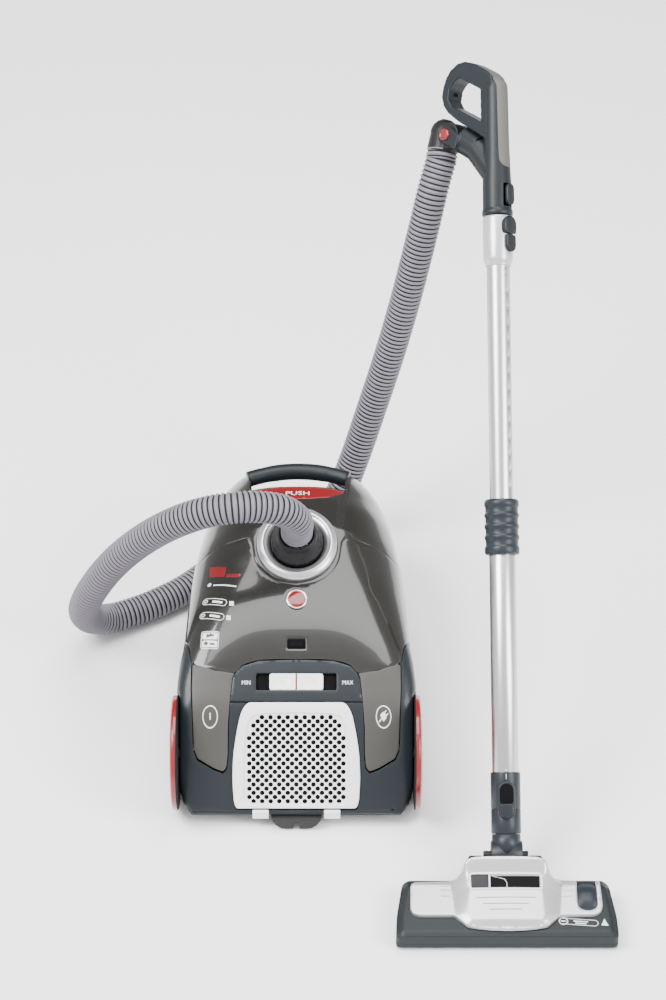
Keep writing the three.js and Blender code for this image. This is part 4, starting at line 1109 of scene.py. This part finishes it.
sleeve_profile = [(16.5, 362), (19.4, 362), (20.2, 362.6), (20.9, 363.6), (21.2, 364.6)]
for i in range(4):
    z = 371 + i * 13.4
    sleeve_profile += [(21.2, z - 0.6), (21.0, z), (20.1, z + 1.7), (19.9, z + 2.4), (19.9, z + 7.2),
                       (20.1, z + 8.2), (21.0, z + 10.4), (21.2, z + 11.0)]
sleeve_profile += [(21.2, 425.2), (20.9, 426.4), (20.1, 428.2), (19.2, 429), (16.4, 429), (16.2, 420)]
sleeve = lathe("lock_sleeve_skin", sleeve_profile, SLEEVE, WAND, segments=96)
place(sharp(sleeve, 60), "lock_sleeve", "handle_plastic", ["lock_sleeve"])

connector = lathe("connector_skin", [(13.2, 26), (16.8, 25.4), (17.6, 25.8), (18, 26.8), (18, 54.6),
                                     (17.5, 55.2), (17.5, 56.0), (18, 56.6), (18, 97.4), (17.7, 98.6),
                                     (17.0, 99), (16.2, 99)], SLEEVE, WAND, segments=96)
place(sharp(connector, 40), "wand_lower", "handle_plastic", ["tube_connector"])


def capsule(half_width, low, high, square_top=False, square_low=False):
    """A stadium outline; either end can be nearly square."""
    out = []
    for centre, start, square in ((high - half_width, 0, square_top), (low + half_width, 180, square_low)):
        for k in range(13):
            a = math.radians(start + 15 * k)
            c, s = math.cos(a), math.sin(a)
            if square:
                c, s = (math.copysign(abs(v) ** 0.35, v) for v in (c, s))
            out.append((half_width * c, centre + half_width * s))
    return out


housing = extruded("connector_housing", capsule(10.6, 42.4, 88), 14.0, 20.4, SLEEVE, FRONT_FACE, bevel=1.6)
place(housing, "wand_lower", "handle_plastic")
# Painted shade: a thin near-black patch stands for the shade in the housing's recess above the latch.
housing_well_shade = extruded("connector_well_shade", capsule(8.3, 61.4, 85.6, square_low=True), 20.2, 20.62, DARK,
                        FRONT_FACE, bevel=0.1)
place(housing_well_shade, "wand_lower", "handle_plastic")
latch = extruded("connector_latch_skin", capsule(8.2, 43.9, 60.9, square_top=True), 17.7, 22.6, PANEL,
                 FRONT_FACE, bevel=1.3)
place(latch, "connector_latch", "panel_plastic", ["connector_latch"])
dot = lathe("connector_dot", [(1.1, 0.0), (1.1, 0.16), (0.1, 0.2)], MARK,
            FRONT_FACE @ Matrix.Translation((0, 101.6, 16.0)), segments=20)
place(dot, "wand_lower", "tube_aluminium")
bar = block("connector_line", (-0.35, 17.9, 90.5), (0.35, 18.16, 97.0), MARK, 0,
            turn=WAND @ Matrix.Rotation(math.pi, 4, "Z"))
place(bar, "wand_lower", "handle_plastic")

collar = lathe("wand_collar_skin", [(14.6, 716.4), (15.2, 716), (15.6, 716.6), (15.7, 718.4), (16.2, 719.6),
                                    (17.4, 722.2), (18.0, 724.6), (18.2, 727), (18.2, 775.6), (17.8, 777.4),
                                    (17.0, 778), (15.0, 778)], PEARL, UPPER, segments=96)
place(sharp(collar, 50), "handle", "pearl_plastic", ["wand_collar"])
collar_housing = extruded("collar_housing", capsule(10.6, 754.4, 777.0, square_low=True), 12.0, 22.2,
                          HANDLE, LATCH_FACE, bevel=2.4)
place(collar_housing, "handle", "handle_plastic")
collar_latch = extruded("collar_latch_skin", capsule(8.4, 732, 753.6, square_top=True), 17.0, 22.8, HANDLE,
                        LATCH_FACE, bevel=2.0)
place(collar_latch, "collar_latch", "handle_plastic", ["collar_latch"])
grip_latch = extruded("handle_latch_skin", capsule(6.5, 790, 817), 16.9, 22.5, HANDLE, LATCH_FACE, bevel=1.8)
place(grip_latch, "handle_latch", "panel_plastic", ["handle_latch"])

# ---- handle ----------------------------------------------------------------------------------

grip = softened("handle_grip", HANDLE, "handle", "handle_plastic", voxel=0.85, relax=9)
collar_ring = lathe("handle_ring", [(15.0, 779.2), (18.4, 779), (19.0, 779.6), (19.0, 784.9), (18.4, 785.6),
                                    (17.6, 786.2), (17.4, 787.4), (18.1, 788.2)], HANDLE, UPPER,
                    segments=96)
place(sharp(collar_ring, 45), "handle", "handle_plastic")

grip_tree = BVHTree.FromPolygons([tuple(v.co) for v in grip.data.vertices],
                                 [tuple(p.vertices) for p in grip.data.polygons])
INLAY_LINE = [(17.4, 838), (16.8, 862), (16.0, 900), (15.4, 928), (13.2, 941), (7, 951), (-2, 959.5),
              (-14, 966.5), (-26, 973), (-38, 977.4), (-50, 977.2)]
line, _ = spline([(u, 0, t) for u, t in INLAY_LINE], 1.0)
rows = []
row_frame = UPPER.to_3x3()
for k, (u, _, t) in enumerate(line):
    before, after = line[max(0, k - 1)], line[min(len(line) - 1, k + 1)]
    along = Vector((after[0] - before[0], 0, after[2] - before[2])).normalized()
    outward = Vector((along.z, 0, -along.x))
    left = min(k / 10.0, 1.0)
    right = min((len(line) - 1 - k) / 46.0, 1.0)
    half = 10.4 * math.sqrt(max(0.0, 1 - (1 - left) ** 2)) * min(1.0, right ** 0.8 * 1.06) + 0.15
    row_points = []
    for i in range(23):
        n = half * (i / 11 - 1)
        start = Vector((u, n, t)) + outward * 14
        origin = at(*(UPPER @ start))
        direction = -(row_frame @ outward)
        hit = grip_tree.ray_cast(origin, direction, 0.05)[0]
        rim = min(i, 22 - i, k, len(line) - 1 - k)
        rise = (0.05, 0.4, 0.5, 0.55)[min(rim, 3)] * MM
        if hit is None:
            hit = at(*(UPPER @ Vector((u, n, t))))
        row_points.append(hit - direction * rise)
    rows.append(row_points)
vertices = [p for row_points in rows for p in row_points]
inlay = mesh_object("grip_inlay_skin", vertices, strip_faces(len(rows), 23, closed=False), INLAY)
place(inlay, "handle", "inlay_rubber", ["grip_inlay"])

PIVOT = (-66.0, 888.0)
# Z of this frame points out of the handle's red side.
PIVOT_FACE = UPPER @ Matrix.Translation((PIVOT[0], 0, PIVOT[1])) @ Matrix.Rotation(math.pi / 2, 4, "X")
cap = lathe("pivot_cap_skin", [(7.3, 19.4), (7.3, 21.6), (6.9, 22.5), (6.0, 22.9), (5.2, 22.7), (4.8, 22.5),
                               (2, 22.6), (0.1, 22.6)], RED_LENS, PIVOT_FACE, segments=48)
place(cap, "handle", "red_plastic", ["pivot_cap"])
softened("knuckle_cuff", BLACK, "canister", "black_plastic", voxel=0.8, relax=7, name="knuckle_skin")
DOME = UPPER @ Matrix.Translation((-82, 0, 895)) @ Matrix.Rotation(math.radians(-62), 4, "Y")
for k in range(4):
    tilt = math.radians(24 + 13 * k)
    radius, height = 18.0 * math.cos(tilt), 18.0 * math.sin(tilt)
    rib = lathe(f"knuckle_rib_{k}", [(radius - 0.1, height - 0.7), (radius + 0.4, height - 0.3),
                                     (radius + 0.3, height + 0.2), (radius - 0.4, height + 0.5)], BLACK, DOME)
    place(rib, "canister", "black_plastic")

# The hose's last rings, which run up under the knuckle's ball.
hose_end = np.array(HOSE_POINTS[-1])
under_ball = np.array(UPPER @ Vector((-86.2, 0, 875)))
steps = max(6, int(round(np.linalg.norm(under_ball - hose_end) / (RING_PITCH / SAMPLES))))
end_path = [tuple(at(*(hose_end + (under_ball - hose_end) * (k - 1) / steps))) for k in range(steps + 2)]
end_radii = [HOSE_RADIUS * MM * RING_SHAPE[(len(hose_line) - 2 + k) % SAMPLES] for k in range(len(end_path))]
# Their grooves carry the same painted shade.
rings = tube("hose_last_rings", end_path, end_radii, 40, [HOSE, HOSE_GROOVE_SHADE],
             pattern=lambda k: 1 if (len(hose_line) - 2 + k) % SAMPLES in (2, 3) else 0)
place(rings, "canister", "hose_plastic")

# The screw well in the loop, on the side that faces the grip: a near-black disc painted as the shade in the
# well.
WELL = UPPER @ Matrix.Translation((-63.5, 0, 941)) @ Matrix.Rotation(math.radians(78), 4, "Y")
well_shade = lathe("handle_screw_well_shade", [(3.1, 0.2), (2.9, 0.5), (2.3, 0.5), (2.1, 0.1), (0.2, 0.0)], DARK, WELL,
             segments=32)
place(well_shade, "handle", "handle_plastic")

# ---- printed marks ---------------------------------------------------------------------------


def print_mark(name, outline, m, holes=(), lift=0.14):
    return decal(name, outline, m, "bag_lid", "glossy_cover", lift, holes=holes, step=1.6)


def pill(start, end, radius):
    """A stadium between two plan points."""
    a, b = np.array(start, float), np.array(end, float)
    heading = math.atan2(b[1] - a[1], b[0] - a[0])
    out = []
    for centre, turn in ((b, -90), (a, 90)):
        for k in range(13):
            angle = heading + math.radians(turn + 15 * k)
            out.append((centre[0] + radius * math.cos(angle), centre[1] + radius * math.sin(angle)))
    return out


print_mark("edition_mark", [(-109.3, 258), (-88.3, 247.8), (-91, 235.5), (-109, 243)], RED)
print_mark("edition_bar", [(-87.6, 238.8), (-70.2, 235.5), (-71.1, 231.2), (-88.4, 234.5)], RED)
print_mark("heading_dot", ellipse(-109.2, 231.5, 2.3, 2.6, 12), MARK)
print_mark("heading_bar", pill((-103.6, 228.0), (-76, 219.2), 0.8), MARK)
for k, (start, end, square) in enumerate((((-112.8, 207.0), (-91.0, 199.2), (-80.7, 196.6)),
                                          ((-115.9, 188.2), (-93.9, 180.8), (-84.2, 178.8)))):
    print_mark(f"accessory_outline_{k}", pill(start, end, 4.4), MARK, [pill(start, end, 3.8)])
    middle = ((start[0] * 0.35 + end[0] * 0.65), (start[1] * 0.35 + end[1] * 0.65))
    print_mark(f"accessory_bar_{k}", pill((middle[0] - 5.2, middle[1] + 1.9),
                                          (middle[0] + 5.2, middle[1] - 1.9), 1.3), MARK)
    print_mark(f"accessory_spot_{k}", ellipse(*start, 2.3, 2.3, 14), MARK, [ellipse(*start, 1.5, 1.5, 10)])
    x, y = square
    print_mark(f"accessory_square_{k}", [(x - 2.8, y + 3.2), (x + 2.6, y + 2.4), (x + 2.6, y - 3.2),
                                         (x - 2.8, y - 2.4)], MARK)
LABEL = [(-117.6, 166.2), (-95.3, 163.0), (-96.5, 141.5), (-118.4, 144.2)]
label = rounded(LABEL, 3.0)
print_mark("label_rim", label, MARK, [rounded(grown(LABEL, -0.7), 2.6)])
print_mark("label_upper", rounded([(-115.9, 164.2), (-97.2, 161.5), (-97.7, 153.2), (-116.2, 155.9)], 1.6),
           MARK)
print_mark("label_lower", rounded([(-116.3, 154.2), (-97.8, 151.5), (-98.2, 143.8), (-116.6, 146.1)], 1.6),
           MARK)
print_mark("label_crown", [(-111.6, 159.4), (-110.2, 162.0), (-107.8, 160.4), (-106.2, 162.4),
                           (-104.4, 159.9), (-102.4, 161.0), (-101.9, 158.0), (-111.3, 157.2)], PANEL,
           lift=0.24)
print_mark("label_drop", ellipse(-111.8, 149.9, 2.6, 2.2, 12), PANEL, lift=0.24)
print_mark("label_bar", pill((-106.2, 148.6), (-102, 148.0), 1.1), PANEL, lift=0.24)

# ---- floor nozzle ----------------------------------------------------------------------------

NOZZLE_X, NOZZLE_Y = 251.5, -195.0
# Local x runs along Y, local y up, and the raised direction along X.
SIDEWAYS = Matrix.Translation((NOZZLE_X, NOZZLE_Y, 0)) @ Matrix(((0, 0, 1, 0), (1, 0, 0, 0), (0, 1, 0, 0),
                                                                 (0, 0, 0, 1)))


def ease(value, low, high):
    t = min(max((value - low) / (high - low), 0.0), 1.0)
    return t * t * (3 - 2 * t)


def base_height(x, y):
    """Top of the nozzle's base, with its chamfered ends."""
    z = float(np.interp(y, (0, 5, 70, 82), (25.6, 28.0, 32.8, 28.4)))
    end = float(np.interp(y, (-1, 30, 83), (132, 131, 123))) - abs(x)
    return z - 5.5 * (1 - ease(end, -1.0, 9.0))


def wing_height(x, y):
    """Top of the wings beside the hump."""
    return float(np.interp(y, (0, 70, 82), (32.2, 37.4, 33.0)))


def hump_height(y):
    return lookup([(4, 32.6), (9, 34.0), (13, 37.4), (24, 40.6), (45, 46.6), (60, 50.6), (73, 54.0),
                   (79, 58.0), (84, 61.6), (90, 64.6)], y)


def cover_height(x, y):
    """Top of the pearl cover: a hump that flares down into two wings."""
    crest = float(np.interp(y, (5, 22, 56, 72, 84, 98.5), (40.5, 44.6, 43.0, 46.5, 48.6, 38)))
    foot = float(np.interp(y, (5, 25, 40, 70, 74, 98.5), (47, 63, 64, 66, 66, 41)))
    slope = min(max((foot - abs(x)) / (foot - crest), 0.0), 1.0)
    share = 0.7 * slope + 0.3 * ease(slope, 0.0, 1.0)
    dome = -0.9 * (x / 44) ** 2
    return wing_height(x, y) * (1 - share) + max(hump_height(y) + dome, wing_height(x, y)) * share


def on_nozzle(height, lift=0.0):
    """A shape for shell_panel: plan points of the floor head at a height over it."""
    return lambda x, y: (np.array([x + NOZZLE_X, y + NOZZLE_Y, height(x, y) + lift]),
                         np.array([0.0, 0.0, 1.0]))


PEDAL_WELL = [(84, 31.6), (108.4, 31.6), (108.4, 75.4), (84, 75.4)]
BASE_PLAN = [(-132, -1), (132, -1), (131, 30), (123, 83), (-123, 83), (-131, 30)]
base_plan = spaced(rounded(grown(BASE_PLAN, -1.2), 6.0, steps=5), 2.6)
nozzle_base = shell_panel("nozzle_base_skin", base_plan, [spaced(rounded(grown(PEDAL_WELL, 0.8), 4), 2.6)],
                          NOZZLE, edge=1.2, step=3.2, back=False, shape=on_nozzle(base_height), foot=4.9)
place(nozzle_base, "nozzle", "nozzle_plastic", ["nozzle_base"])
lip = shell_panel("nozzle_lip", spaced(rounded(grown(BASE_PLAN, -0.4), 6.0, steps=5), 5), [], NOZZLE,
                  edge=0.6, step=12, back=False, shape=lambda x, y: (np.array([x + NOZZLE_X, y + NOZZLE_Y,
                                                                               11.6]), np.array([0.0, 0.0,
                                                                                                 1.0])),
                  foot=4.7)
place(lip, "nozzle", "nozzle_plastic")
for k, (low, high) in enumerate(((-25, -20.4), (22.4, 27))):
    lug = extruded(f"nozzle_lug_{k}", rounded([(76, 9), (98, 20), (113, 36), (115, 44), (112, 50), (98, 50),
                                               (78, 30)], 4), low, high, NOZZLE, SIDEWAYS, bevel=0.8)
    place(lug, "nozzle", "nozzle_plastic")
for k, (low, high) in enumerate(((-49, -46), (46, 49))):
    lug = extruded(f"roller_lug_{k}", rounded([(76, 6), (98, 6), (98, 16), (78, 22)], 2), low, high, NOZZLE,
                   SIDEWAYS, bevel=0.6)
    place(lug, "nozzle", "nozzle_plastic")

RIGHT_WING = [(61.6, 26.4), (70, 26.2), (103, 27.0), (110.6, 31.5), (112.9, 39), (111.2, 76.4),
              (108.9, 76.6), (109.0, 40.5), (106.6, 34.6), (101, 31.3), (92, 31.3), (86.2, 34.6),
              (83.8, 40.5), (83.6, 76.6), (68, 77.2)]
LEFT_WING = [(-68, 74.6), (-108.8, 72.4), (-112.6, 68), (-113.4, 35), (-110.6, 29.2), (-104, 26.2),
             (-70, 26.2), (-61.6, 26.4)]
FRONT_LIP = [(-46.6, 10.4), (-34, 7.8), (-17, 6.0), (0, 5.4), (17, 6.0), (34, 7.8), (46.6, 10.4)]
REAR_EDGE = [(52, 84.6), (38.4, 89.2), (20, 89.6), (-20, 89.6), (-38.4, 89.2), (-52, 84.6)]
cover_plan = spaced(rounded([*FRONT_LIP, *RIGHT_WING, *REAR_EDGE, *LEFT_WING], 2.6, steps=3), 2.4)
WINDOW = [(-42.2, 54.4), (40.8, 54.4), (40.8, 71.4), (-42.2, 71.4)]
window_plan = spaced(rounded(WINDOW, 2.4), 2.2)
nozzle_cover = shell_panel("nozzle_cover_skin", cover_plan, [window_plan], PEARL, edge=1.3, depth=6.0,
                           step=2.6, back=False, shape=on_nozzle(cover_height), foot=29.4)
place(nozzle_cover, "nozzle", "pearl_plastic", ["nozzle_cover"])
rear_wall = extruded("nozzle_cover_back", rounded([(-38.6, 32), (38.6, 32), (38.6, 55.4), (-38.6, 55.4)],
                                                  2), 0, 1.6, PEARL, Matrix.Translation((NOZZLE_X,
                                                                                         NOZZLE_Y + 84,
                                                                                         0)) @ REARWARD,
                     bevel=0.4)
place(rear_wall, "nozzle", "pearl_plastic")
window_rim = shell_panel("nozzle_window_rim", spaced(rounded(grown(WINDOW, 2.4), 4.2), 2.4),
                         [spaced(rounded(grown(WINDOW, 0.4), 2.6), 2.4)], PEARL, edge=0.7, depth=1.6,
                         step=2.2, back=False, shape=on_nozzle(cover_height, 0.55))
place(window_rim, "nozzle", "pearl_plastic")


def pane_height(x, y):
    """Top of the sloping window pane."""
    return 45.3 + (y - 49.5) * 0.28


nozzle_window = shell_panel("nozzle_window_skin", spaced(grown(WINDOW, 0.9), 4.0), [], SMOKE, edge=0.3,
                            depth=1.6, step=5, back=False, shape=on_nozzle(pane_height, 0.4))
place(nozzle_window, "nozzle", "smoke_lens", ["nozzle_window"])
flap = shell_panel("nozzle_flap", spaced(rounded([(-41.6, 55.2), (-21.6, 55.2), (-21.6, 70.8),
                                                  (-41.6, 70.8)], 1.4), 2.2), [], HANDLE, edge=0.8,
                   depth=2.2, step=3, back=False, shape=on_nozzle(pane_height, 2.2))
place(flap, "nozzle", "smoke_lens")


def nozzle_bar(name, start, end, width, m, slot_name, height=cover_height, lift=0.06, thick=0.3):
    """A thin bar laid on one of the nozzle's surfaces."""
    return place(shell_panel(name, spaced(pill(start, end, width / 2), 1.5), [], m, edge=0.12, depth=thick,
                             step=1.6, back=False, shape=on_nozzle(height, lift)), "nozzle", slot_name)


nozzle_bar("window_post", (-20.2, 55.6), (-20.2, 70.4), 1.7, PEARL, "smoke_lens", pane_height, 2.4, 1.6)
for k, (start, end) in enumerate((((-17.6, 70.2), (-2, 66.4)), ((-2, 66.4), (0.6, 61.8)),
                                  ((0.6, 61.8), (0.6, 55.8)))):
    nozzle_bar(f"window_line_{k}", start, end, 0.45, STEEL, "smoke_lens", pane_height, 0.6)
# Painted shade: the pearl cover's grooves are flat grey bars, darker than the pearl, standing for the shade
# in them.
GROOVE_SHADE = material("groove_shade", (0.22, 0.22, 0.23), 0.6)
for k, (left, right, y) in enumerate(((-36.2, 33.8, 42.2), (-28, 25.4, 34.6), (-21, 17, 27.4))):
    nozzle_bar(f"cover_groove_{k}", (left, y), (right, y + 0.3), 1.15, GROOVE_SHADE, "pearl_plastic")
for side in (-1, 1):
    for k, y in enumerate((52.6, 60.8, 67.6)):
        nozzle_bar(f"wing_rib_{side + 1}_{k}", (side * 62, y - 1.2), (side * (80.5 - 3 * (side < 0)), y),
                   1.3, PEARL, "pearl_plastic", lift=0.6, thick=0.9)


def pedal_height(x, y):
    z = lookup([(33, 33.4), (38, 37.2), (46, 40.2), (54, 40.9), (62, 39.4), (70.5, 36.0)], y)
    return z - 1.6 * abs((x - 96.2) / 11) ** 3


pedal_plan = spaced(rounded([(84.8, 33.0), (107.6, 33.0), (107.6, 70.6), (84.8, 70.6)], 7.0, steps=5), 1.8)
pedal_plan = grown(pedal_plan, -1.2)
floor_pedal = shell_panel("floor_pedal_skin", pedal_plan, [], SLEEVE, edge=1.2, depth=5, step=2.0, back=False,
                          shape=on_nozzle(pedal_height), foot=28.6)
place(floor_pedal, "brush", "handle_plastic", ["floor_pedal"])

# Setting marks beside the pedal: an outline, a spot and a triangle.
for name, outline, hole in (
        ("setting_outline", pill((65.4, 19.8), (103.4, 16.6), 4.4), pill((65.4, 19.8), (103.4, 16.6), 3.8)),
        ("setting_spot", ellipse(66.6, 19.6, 5.4, 5.4, 20), ellipse(66.6, 19.6, 4.4, 4.4, 16))):
    mark = shell_panel(name, spaced(outline, 1.6), [spaced(hole, 1.6)], MARK, edge=0.05, depth=0.3,
                       step=1.6, back=False, shape=on_nozzle(base_height, 0.1))
    place(mark, "nozzle", "nozzle_plastic")
for k, (start, end) in enumerate((((79, 19.8), (95, 18.5)), ((81, 16.8), (93, 15.8)),
                                  ((64.2, 19.8), (69, 19.4)))):
    nozzle_bar(f"setting_bar_{k}", start, end, 1.3, MARK, "nozzle_plastic", base_height, 0.1)
triangle = shell_panel("setting_triangle", spaced([(111.3, 13.6), (119.6, 13.0), (115.2, 23.0)], 1.6), [],
                       MARK, edge=0.05, depth=0.3, step=1.6, back=False, shape=on_nozzle(base_height, 0.1))
place(triangle, "nozzle", "nozzle_plastic")

softened("sole_plate", SILVER, "nozzle", "silver_plastic", bevel=0.5)
softened("brush_strip", BRISTLE, "brush", "black_plastic", bevel=0.4)
softened("neck_pin", BLACK, "nozzle", "motor_metal", bevel=0.3)
for label in ("left", "right"):
    softened(f"roller_{label}", RUBBER, f"roller_{label}", "tread_rubber", bevel=0.8)
for side in (-1, 1):
    EAR = Matrix.Translation((NOZZLE_X + side * 29, NOZZLE_Y + 95, 49)) @ Matrix.Rotation(side
                                                                                          * math.pi / 2, 4,
                                                                                          "Y")
    ear = lathe(f"nozzle_ear_{side + 1}", [(7.2, 0), (7.2, 12.4), (6.6, 14.2), (4.6, 15.4), (2, 15.8),
                                           (0.1, 15.9)], NOZZLE, EAR)
    place(ear, "nozzle", "nozzle_plastic")
NECK_STEM = [(0.1, -2), (17.4, -2), (17.4, 23.9), (16.9, 24.2), (17.4, 24.5), (17.3, 25.0), (12.6, 25.1),
             (12.6, 32)]
place(lathe("nozzle_neck_skin", NECK_STEM, SLEEVE, WAND, segments=72), "neck", "panel_plastic",
      ["nozzle_neck"])
NECK_BARREL = [(5.7, -18.8), (16.6, -18.8), (17.5, -17.8), (17.5, 17.8), (16.6, 18.8), (5.7, 18.8)]
neck_barrel = lathe("neck_barrel", NECK_BARREL, SLEEVE,
                    Matrix.Translation(NECK_POINT) @ Matrix.Rotation(math.pi / 2, 4, "Y"))
place(neck_barrel, "neck", "panel_plastic")

# ---- parts inside and underneath -------------------------------------------------------------

softened("inlet_duct", BLACK, "canister", "black_plastic", bevel=0.3)
softened("bag_holder", WHITE, "canister", "white_plastic", bevel=0.6)
softened("dust_bag", PAPER, "canister", "filter_paper", voxel=3.0, relax=8)
softened("motor_filter", FOAM, "canister", "filter_foam", bevel=1.0)
softened("motor_housing", STEEL, "canister", "motor_metal", bevel=0.8)
softened("impeller", ALUMINIUM, "impeller", "fan_aluminium", bevel=0.2)
softened("cord_reel", WHITE, "reel", "white_plastic", bevel=0.6)
softened("reel_winding", CORD, "reel", "cord_black", bevel=0.5)
softened("reel_spindle", STEEL, "canister", "motor_metal", bevel=0.3)
softened("hepa_filter", PAPER, "canister", "filter_paper", bevel=0.4)
softened("power_board", BOARD, "canister", "board_green", bevel=0.2)
softened("cord_outlet", BLACK, "canister", "black_plastic", bevel=0.4)
softened("release_bar", BLACK, "release", "black_plastic", bevel=0.4)
softened("pivot_pin", STEEL, "handle", "motor_metal", bevel=0.3)
softened("caster_fork", BLACK, "caster", "black_plastic", bevel=0.8)
softened("caster_wheel", RUBBER, "caster_wheel", "tread_rubber", bevel=1.6)
for label in ("left", "right"):
    softened(f"axle_{label}", STEEL, "canister", "motor_metal", bevel=0.3)

# ---- light and floor -------------------------------------------------------------------------

floor = bpy.data.objects.new("floor", bpy.data.meshes.new("floor"))
floor.data.from_pydata([(-4, -4, 0), (4, -4, 0), (4, 6, 0), (-4, 6, 0)], [], [(0, 1, 2, 3)])
floor.data.materials.append(material("floor", (0.93, 0.93, 0.93), 0.75))
bpy.context.scene.collection.objects.link(floor)

world = bpy.data.worlds.new("studio")
bpy.context.scene.world = world
world.use_nodes = True
backdrop = world.node_tree.nodes["Background"]
backdrop.inputs["Color"].default_value = (1, 1, 1, 1)
# The sky is dim high up behind the object, so that level gloss surfaces stay dark.
heading = world.node_tree.nodes.new("ShaderNodeTexCoord")
facing = world.node_tree.nodes.new("ShaderNodeVectorMath")
facing.operation = "DOT_PRODUCT"
facing.inputs[1].default_value = (0.0, 0.74, 0.67)
strength = world.node_tree.nodes.new("ShaderNodeMapRange")
for socket, value in (("From Min", 0.3), ("From Max", 0.9), ("To Min", 1.5), ("To Max", 0.15)):
    strength.inputs[socket].default_value = value
world.node_tree.links.new(heading.outputs["Generated"], facing.inputs[0])
world.node_tree.links.new(facing.outputs["Value"], strength.inputs["Value"])
world.node_tree.links.new(strength.outputs["Result"], backdrop.inputs["Strength"])


def softbox(name, location, size, power):
    """A rectangular area light aimed at the middle of the object."""
    data = bpy.data.lights.new(name, "AREA")
    data.shape = "RECTANGLE"
    data.size, data.size_y = size
    data.energy = power
    lamp = bpy.data.objects.new(name, data)
    bpy.context.scene.collection.objects.link(lamp)
    lamp.location = location
    direction = Vector((0, 0, 0.2)) - Vector(location)
    lamp.rotation_euler = direction.to_track_quat("-Z", "Y").to_euler()


softbox("key", (-1.6, -0.6, 2.6), (1.4, 1.4), 140)
softbox("fill", (2.0, -1.2, 1.8), (1.2, 1.6), 85)
softbox("top", (0.0, 0.6, 3.2), (2.2, 2.2), 130)
